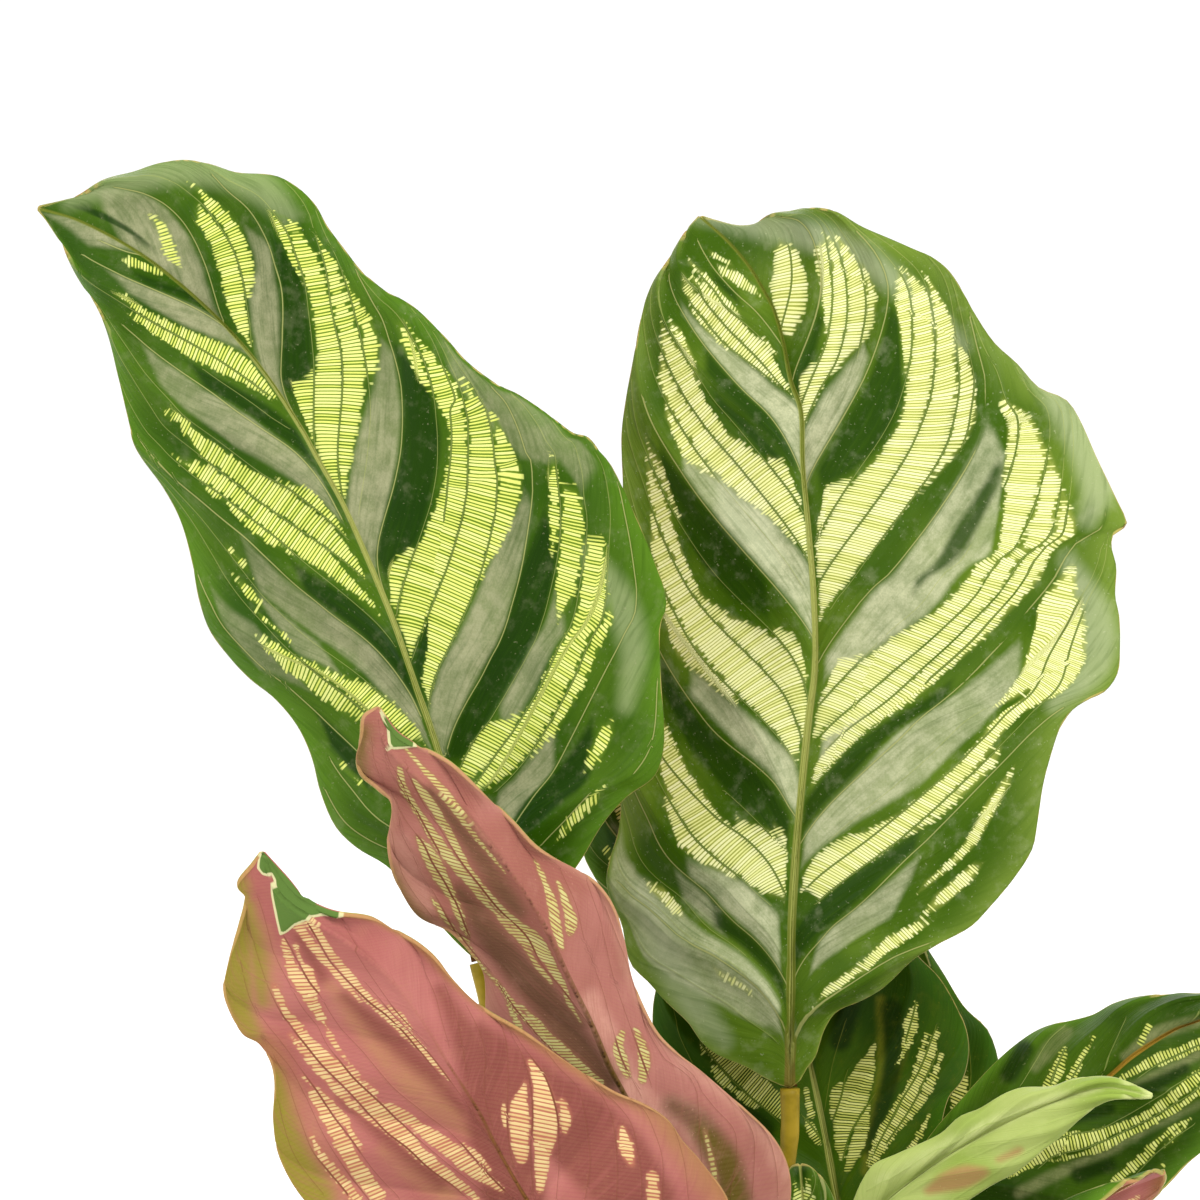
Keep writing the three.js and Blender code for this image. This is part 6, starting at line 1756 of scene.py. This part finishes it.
# Where a leaf's colours differ from the others': those of its upper face, then those of its underside
FACE_COLOURS = {
    "young": (YOUNG, YOUNG),
    # On the upper faces of the tall leaves, wash is the pale colour of their painted sheen
    "tall_left": (
        dict(
            ground=(72, 104, 18), ground_deep=(46, 80, 4), silvery=(164, 164, 124), dark=(24, 54, 2),
            wash_and_sheen=(206, 214, 160), hatch=(226, 232, 110), hatch_pale=(236, 240, 142),
            between=(104, 134, 32),
        ),
        {},
    ),
    # The tall right leaf's silvery and rim colours are lighter, partly to paint a highlight and sheen on it
    "tall_right": (
        dict(
            ground=(92, 120, 28), ground_deep=(60, 92, 8), silvery=(200, 202, 160), dark=(36, 66, 6),
            wash_and_sheen=(226, 230, 190), hatch=(242, 244, 156), hatch_pale=(250, 250, 184),
            between=(170, 178, 80), rim=(132, 156, 62),
        ),
        {},
    ),
    "middle": (
        {},
        dict(
            ground=(190, 122, 112), ground_deep=(168, 102, 90), silvery=(218, 158, 140),
            dark=(122, 84, 62), wash_and_sheen=(108, 92, 30), hatch=(214, 202, 122), hatch_pale=(222, 212, 140),
            between=(168, 120, 86), rib=(112, 84, 30), rib_deep=(92, 70, 20), rim=(208, 150, 126),
        ),
    ),
    "lower": (
        dict(
            ground=(64, 94, 8), ground_deep=(40, 70, 2), silvery=(116, 118, 26), dark=(24, 46, 0),
            hatch=(198, 202, 96), hatch_pale=(220, 222, 130), between=(56, 76, 6),
            vein_light=(126, 132, 48), rim=(58, 102, 6),
        ),
        {},
    ),
    "right": (
        dict(
            ground=(64, 94, 10), ground_deep=(40, 68, 2), silvery=(134, 138, 88), dark=(22, 46, 0),
            hatch=(208, 214, 102), hatch_pale=(224, 228, 132), between=(70, 90, 12),
            rib=(168, 132, 44), rib_deep=(130, 98, 28),
        ),
        {},
    ),
}
FACE_COLOURS["hidden"] = FACE_COLOURS["lower"]

# How ragged the ends of a leaf's hatch lines are, how strongly its washed fields show, and how strongly
# the painted sheen on the two tall leaves shows
RAGGEDNESS = {"low_front": 0.45, "middle": 0.35, "lower": 0.5, "hidden": 0.5, "right": 0.5}
WASH_SHARE = 0.9
PAINTED_SHEEN_SHARE = 0.3

# An underside is duller, its fields are softer, and the upper face's hatching shines through faintly
UNDERSIDE = dict(roughness=0.55, softness=1.5, faint_lines=0.035)

# Noise scales per metre of leaf, from slow drift to fine grain
DRIFT_SCALE = 45.0
MOTTLE_SCALE = 260.0
SPECK_SCALE = 1500.0
GRAIN_SCALE = 2600.0

# How much a line's measured distance may be off, in mm
DISTANCE_SLACK = 0.4

# Soft edges in mm, each from where nothing shows to where all does: distances from the middle of a line,
# or depths in a field or a fold
VEIN_CLEARING = (0.1, 0.24)
VEIN_SHADE = (0.26, 0.1)
VEIN_LIGHT = (0.1, 0.03)
VEIN_FURROW = (0.4, 0.0)
CREASE_SHADE = (0.45, 0.1)
CREASE_LIGHT = (0.14, 0.06)
CREASE_FURROW = (3.6, 0.0)
RIB_EDGE = (0.15, -0.15)
MARGIN_LINE = (0.22, 0.06)
FOLD_EDGE = (-0.1, 0.1)
FOLD_MARGIN = (0.34, 0.16)
BAND_EDGE = (-0.6, 0.6)
WASH_AND_SHEEN_EDGE = (-2.2, 1.8)

# Hatch lines: half widths as shares of their pitch, and how softly they end
HATCH_HALF_WIDTHS = (0.2, 0.33)
HATCH_EDGE = (0.09, -0.07)

# Heights of the fine relief in mm
HATCH_RELIEF = 0.02
VEIN_RELIEF = 0.06
STREAK_RELIEF = 0.12
CREASE_RELIEF = 0.5
DRIFT_RELIEF = 0.8


def leaf_look(
    name, codes, roughness=0.38, softness=0.8, faint_lines=0.0, raggedness=1.0, wash_and_sheen_share=WASH_SHARE
):
    """One face of a leaf: ground, soft fields partly of painted sheen and painted shade, hatched bands,
    veins, rib and margin.
    """
    colours = {key: rgb(code, LEAF_SHARE) for key, code in codes.items()}
    look = Look(name, roughness, specular=0.04)
    ramp, mix, times, minus = look.ramp, look.mix, look.times, look.minus
    place, outward = look.layer("vein")
    steps, band = look.layer("hatch")
    edge, crease_distance = look.layer("edge")
    rib, vein_distance = look.layer("side")
    silvery, dark = look.layer("tone")
    turned = look.layer("turned")[0]
    vein_steps, rib_half = look.layer("strip")
    wash_and_sheen, crease_steps = look.layer("more")
    spot = look.spot()
    drift = look.noise(spot, DRIFT_SCALE)
    grain = look.noise(spot, GRAIN_SCALE, 2.0, 0.6)
    mottles = look.noise(spot, MOTTLE_SCALE, 4.0, 0.65)
    specks = look.noise(spot, SPECK_SCALE, 2.0, 0.6)
    streaks = look.noise(look.vector(times(place, 24.0), times(steps, 0.05)), 1.0)

    # A line lies where its steps value passes a half; the distance beside it ends it
    small_vein, crease = [
        look.maths(
            "MAXIMUM",
            times(look.beside_half(stepped), LINE_REACH),
            minus(distance, DISTANCE_SLACK),
        )
        for stepped, distance in ((vein_steps, vein_distance), (crease_steps, crease_distance))
    ]

    # Each strip between two small veins has its own hatch lines
    strip = look.maths("FLOOR", look.plus(vein_steps, 0.5))
    wander = look.noise(look.vector(times(steps, 0.2), times(place, 2.0), strip), 1.0, 1.0)
    shifted = look.plus(steps, look.dice(look.vector(strip, 0.0)), times(wander, 0.6))
    line = look.maths("FLOOR", shifted)
    length_chance = look.dice(look.vector(line, strip))
    tint_chance = look.dice(look.vector(line, strip, 9.0))
    half_width = ramp(tint_chance, 0.0, 0.6, *HATCH_HALF_WIDTHS)
    stroke = ramp(minus(look.beside_half(shifted), half_width), *HATCH_EDGE)

    # Hatch lines end raggedly, more so near the margin, and a little tint fills the band between them
    shortened = minus(band, times(length_chance, ramp(outward, 0.25, 0.85, 0.7, 1.5), raggedness))
    inside = times(
        ramp(shortened, -0.6 * raggedness, 0.2 - 0.4 * raggedness), ramp(band, -0.4, 0.7, 0.65, 1.0)
    )
    clear = ramp(small_vein, *VEIN_CLEARING)
    full = times(ramp(band, -0.5, 1.6 * raggedness), clear)

    # The ground drifts between two shades, has its own rim, and silvery, dark and washed fields, which
    # include painted sheen and painted shade
    ground = mix(ramp(drift, 0.35, 0.65), colours["ground"], colours["ground_deep"])
    ground = mix(ramp(outward, 0.72, 1.0, 0.0, 0.6), ground, colours["rim"])
    # Silvery fields are the leaf's grey tone with a painted sheen
    silver_and_sheen_share = times(
        ramp(silvery, -softness, softness), ramp(grain, 0.3, 0.7, 0.8, 1.0),
        ramp(mottles, 0.35, 0.65, 0.62, 0.98), ramp(outward, 0.25, 0.75, 1.0, 0.6),
    )
    ground = mix(silver_and_sheen_share, ground, colours["silvery"])
    # Dark fields are dark tissue deepened by painted shade
    ground = mix(times(ramp(dark, -1.3 * softness, softness), 0.9), ground, colours["dark"])
    # Washed fields are olive patches, and on the upper faces of the two tall leaves a pale painted sheen
    ground = mix(times(ramp(wash_and_sheen, *WASH_AND_SHEEN_EDGE), wash_and_sheen_share), ground, colours["wash_and_sheen"])
    ground = mix(ramp(streaks, 0.45, 0.75, 0.0, 0.35), ground, colours["ground_deep"])
    ground = mix(ramp(mottles, 0.5, 0.75, 0.0, 0.14), ground, colours["silvery"])
    ground = mix(ramp(specks, 0.66, 0.74, 0.0, 0.3), ground, colours["silvery"])
    ground = mix(times(stroke, faint_lines), ground, colours["hatch"])

    # Bands with their hatch lines lie over the ground, and the veins and creases over both
    body = mix(full, ground, colours["between"])
    tint = mix(ramp(tint_chance, 0.2, 0.9), colours["hatch"], colours["hatch_pale"])
    body = mix(times(inside, clear, stroke), body, tint)
    vein_share = times(ramp(small_vein, *VEIN_SHADE), times(ramp(band, *BAND_EDGE), 0.8))
    body = mix(vein_share, body, colours["small_vein"])
    body = mix(times(ramp(small_vein, *VEIN_LIGHT), 0.5), body, colours["vein_light"])
    body = mix(times(ramp(crease, *CREASE_SHADE), 0.4), body, colours["ground_deep"])
    body = mix(times(ramp(crease, *CREASE_LIGHT), 0.7), body, colours["crease"])

    # The rib is streaked, and darker at its foot
    rib_lines = look.noise(look.vector(times(rib, 5.0), times(place, 0.4), 3.0), 1.0, 1.0)
    rib_colour = mix(ramp(rib_lines, 0.4, 0.6), colours["rib"], colours["rib_deep"])
    rib_colour = mix(ramp(place, 1.2, 0.1, 0.0, 0.7), rib_colour, colours["rib_foot"])
    body = mix(ramp(minus(rib, rib_half), *RIB_EDGE), body, rib_colour)
    body = mix(times(ramp(edge, *MARGIN_LINE), 0.6), body, colours["margin"])

    # Where a tip is folded over, its other face shows up to the bent margin
    body = mix(ramp(turned, *FOLD_EDGE), body, colours["turned"])
    body = mix(ramp(look.size_of(turned), *FOLD_MARGIN), body, colours["turned_margin"])
    look.colour(body)

    look.bump(
        look.plus(
            times(stroke, inside, HATCH_RELIEF), times(ramp(small_vein, *VEIN_FURROW), VEIN_RELIEF),
            times(streaks, STREAK_RELIEF), times(ramp(crease, *CREASE_FURROW), CREASE_RELIEF),
            times(drift, DRIFT_RELIEF),
        ),
        MM,
    )
    return look.material


def plain_look(name, light, deep, roughness, scale, bumpiness=0.0, specular=0.5):
    """A material that wanders between two shades."""
    look = Look(name, roughness, specular)
    spot = look.spot()
    shade = look.noise(spot, scale, 4.0, 0.6)
    look.colour(look.mix(look.ramp(shade, 0.3, 0.7), light, deep))
    if bumpiness:
        look.bump(look.noise(spot, scale * 6, 4.0, 0.6), bumpiness)
    return look.material


upper_look = leaf_look("leaf_upper", UPPER)
under_look = leaf_look("leaf_under", UNDER, raggedness=0.5, **UNDERSIDE)
young_look = plain_look(
    "young_leaf", rgb((196, 212, 128), LEAF_SHARE), rgb((150, 178, 78), LEAF_SHARE),
    roughness=0.4, scale=160.0, bumpiness=0.00005, specular=0.1,
)
stalk_look = plain_look(
    "stalk", rgb((178, 150, 40), LEAF_SHARE), rgb((130, 110, 10), LEAF_SHARE),
    roughness=0.45, scale=120.0, bumpiness=0.00004, specular=0.1,
)
soil_look = plain_look(
    "soil", rgb((70, 50, 34)), rgb((36, 25, 17)), roughness=0.95, scale=420.0, bumpiness=0.0008
)
clay_look = plain_look(
    "clay", rgb((166, 90, 60)), rgb((142, 74, 50)), roughness=0.85, scale=40.0, bumpiness=0.0001
)
floor_look = plain_look("floor", (0.92, 0.92, 0.91), (0.93, 0.93, 0.92), roughness=0.9, scale=2.0)

for name, leaf in LEAVES.items():
    points, faces, samples, is_back, layers = blade_mesh(name, leaf)
    underside = bool(leaf.get("underside"))
    looks = [upper_look, under_look]
    own_upper, own_under = FACE_COLOURS.get(name, ({}, {}))
    ragged = RAGGEDNESS.get(name, 1.0)
    # The painted sheen on the two tall leaves shows more faintly than a washed field
    share = PAINTED_SHEEN_SHARE if name in PAINTED_SHEEN else WASH_SHARE
    if own_upper:
        codes = {**UPPER, **own_upper}
        looks[0] = leaf_look(f"{name}_upper", codes, raggedness=ragged, wash_and_sheen_share=share)
    if own_under:
        codes = {**UNDER, **own_under}
        looks[1] = leaf_look(f"{name}_under", codes, raggedness=ragged, **UNDERSIDE)
    if underside:
        looks.reverse()
    shown = add_object(f"{name}_blade_fine", points, faces.tolist(), looks, is_back)
    for layer, values in layers.items():
        add_layer(shown.data, layer, values[samples].reshape(-1, 2))
    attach(shown, "root")
    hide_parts(f"{name}_blade")

# Stalks are rigid rods that stand in the soil, wide at the foot and thickened at a joint below the blade
STALK_RADII = evenly([2.4, 2.4, 2.0, 1.5, 1.5, 1.5, 1.9])
STALK_POINTS = 110
STALK_JOINT_PLACE = 0.93
STALK_JOINT_LENGTH = 0.012
STALK_JOINT_RISE = 0.12
STALK_DEPTH = 14
SOIL_EDGE_HEIGHT = 96
TUBE_SIDES = 22
PATH_STEPS = 60

# The stalk heads along the rib's foot for its last stretch and stops just short of the blade
RIB_HEADING_SHARE = 0.06
LAST_STRETCH = 10
BLADE_GAP = 0.12

ROLLED_LEAF_PATH = [[-6, -3, 82], [-6, -3, 106], [-7, -1, 140], [-10, 1, 184]]
ROLLED_LEAF_RADII = evenly([2.3, 2.1, 1.9, 2.6, 3.2, 2.6, 0.3])
ROLLED_LEAF_POINTS = 90


def smooth_path(points, count):
    """Evenly spaced points of a smooth curve through points that are unevenly spaced."""
    points = np.array(points, float)
    ends = [2 * points[0] - points[1], 2 * points[-1] - points[-2]]
    points = np.concatenate([[ends[0]], points, [ends[1]]])
    t = np.linspace(0, 1, PATH_STEPS, endpoint=False)[:, None]
    parts = []
    for a, b, c, d in zip(points, points[1:], points[2:], points[3:]):
        gaps = [np.sqrt(np.linalg.norm(q - p)) for p, q in ((a, b), (b, c), (c, d))]
        start = (b - a) / gaps[0] - (c - a) / (gaps[0] + gaps[1]) + (c - b) / gaps[1]
        end = (c - b) / gaps[1] - (d - b) / (gaps[1] + gaps[2]) + (d - c) / gaps[2]
        start, end = start * gaps[1], end * gaps[1]
        square = 3 * (c - b) - 2 * start - end
        cube = 2 * (b - c) + start + end
        parts.append(b + start * t + square * t**2 + cube * t**3)
    dense = np.concatenate(parts + [points[-2:-1]])
    lengths = runs_along(dense)
    wanted = np.linspace(0, lengths[-1], count)
    return np.stack([np.interp(wanted, lengths, dense[:, axis]) for axis in range(3)], axis=1)


def tube(points, radii):
    """A round closed tube along points, one radius at each."""
    tangents = np.gradient(points, axis=0)
    tangents /= np.linalg.norm(tangents, axis=1)[:, None]
    side = np.cross(tangents[0], [0, 1, 0.01])
    rings = []
    angles = np.linspace(0, 2 * math.pi, TUBE_SIDES, endpoint=False)
    for point, tangent, radius in zip(points, tangents, radii):
        side = side - tangent * side.dot(tangent)
        side /= np.linalg.norm(side)
        other = np.cross(tangent, side)
        rings.append(point + radius * (np.cos(angles)[:, None] * side + np.sin(angles)[:, None] * other))
    ring = np.arange(TUBE_SIDES)
    after = (ring + 1) % TUBE_SIDES
    faces = []
    for i in range(len(points) - 1):
        low, high = i * TUBE_SIDES, (i + 1) * TUBE_SIDES
        faces += np.stack([low + ring, low + after, high + after, high + ring], 1).tolist()
    faces.append(ring[::-1].tolist())
    faces.append(((len(points) - 1) * TUBE_SIDES + ring).tolist())
    return np.concatenate(rings), faces


def stalk_route(leaf):
    """What a stalk passes on its way from inside the soil to the foot of its blade."""
    x, y = leaf["soil_spot"]
    rib_start = np.array([0.0, RIB_HEADING_SHARE])
    base, further = leaf["put"](leaf["rib"](rib_start), leaf["rib_rise"](rib_start))
    heading = (further - base) / np.linalg.norm(further - base)
    return [
        [x, y, SOIL_EDGE_HEIGHT - STALK_DEPTH], [x, y, SOIL_EDGE_HEIGHT], [x, y, SOIL_EDGE_HEIGHT + 10],
        *leaf["stalk_via"], base - LAST_STRETCH * heading, base - BLADE_GAP * heading,
    ]


for name, leaf in LEAVES.items():
    along = np.linspace(0, 1, STALK_POINTS)
    joint = STALK_JOINT_RISE * np.exp(-(((along - STALK_JOINT_PLACE) / STALK_JOINT_LENGTH) ** 2))
    points, faces = tube(smooth_path(stalk_route(leaf), STALK_POINTS), STALK_RADII(along) + joint)
    shown = add_object(f"{name}_stalk_fine", points, faces, [stalk_look])
    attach(shown, "root")
    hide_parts(f"{name}_stalk")

roll_radii = ROLLED_LEAF_RADII(np.linspace(0, 1, ROLLED_LEAF_POINTS))
points, faces = tube(smooth_path(ROLLED_LEAF_PATH, ROLLED_LEAF_POINTS), roll_radii)
shown = add_object("rolled_leaf_fine", points, faces, [young_look])
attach(shown, "root")
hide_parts("rolled_leaf")

for name, material in (("pot", clay_look), ("soil", soil_look)):
    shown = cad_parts[name]
    shown.data.materials.clear()
    shown.data.materials.append(material)

FLOOR_REACH = 4000
floor_points = [[x * FLOOR_REACH, y * FLOOR_REACH, 0] for x, y in ((-1, -1), (1, -1), (1, 1), (-1, 1))]
floor = add_object("floor", floor_points, [[0, 1, 2, 3]], [floor_look])

SENSOR_WIDTH = 36
camera_data = bpy.data.cameras.new("camera")
camera_data.sensor_width = SENSOR_WIDTH
camera_data.lens = SENSOR_WIDTH * VIEW_DISTANCE / (PHOTO_PIXELS * MM_PER_PIXEL)
camera = bpy.data.objects.new("camera", camera_data)
camera.location = VIEW_EYE * MM
camera.rotation_euler = (math.pi / 2 - VIEW_ELEVATION, 0, 0)
bpy.context.scene.collection.objects.link(camera)
bpy.context.scene.camera = camera

# Soft lights aimed at the leaves, with sizes in metres and power in watts, in a bright white room
LIGHTS_AIM = (0, 0, 0.27)
ROOM_BRIGHTNESS = 1.12


def softbox(name, place, size, power):
    """A rectangular light."""
    light = bpy.data.lights.new(name, "AREA")
    light.shape = "RECTANGLE"
    light.size, light.size_y = size
    light.energy = power
    shown = bpy.data.objects.new(name, light)
    shown.location = place
    shown.rotation_euler = (Vector(LIGHTS_AIM) - Vector(place)).to_track_quat("-Z", "Y").to_euler()
    bpy.context.scene.collection.objects.link(shown)


softbox("key", (0.9, -1.2, 1.6), size=(0.9, 0.9), power=38)
softbox("fill", (-1.4, -1.0, 0.9), size=(1.2, 1.2), power=20)
softbox("back", (-0.3, 1.4, 1.3), size=(1.4, 1.0), power=10)
world = bpy.data.worlds.new("world")
world.use_nodes = True
background = world.node_tree.nodes["Background"]
background.inputs[0].default_value = (1, 1, 1, 1)
background.inputs[1].default_value = ROOM_BRIGHTNESS
bpy.context.scene.world = world
bpy.context.scene.view_settings.view_transform = "Standard"
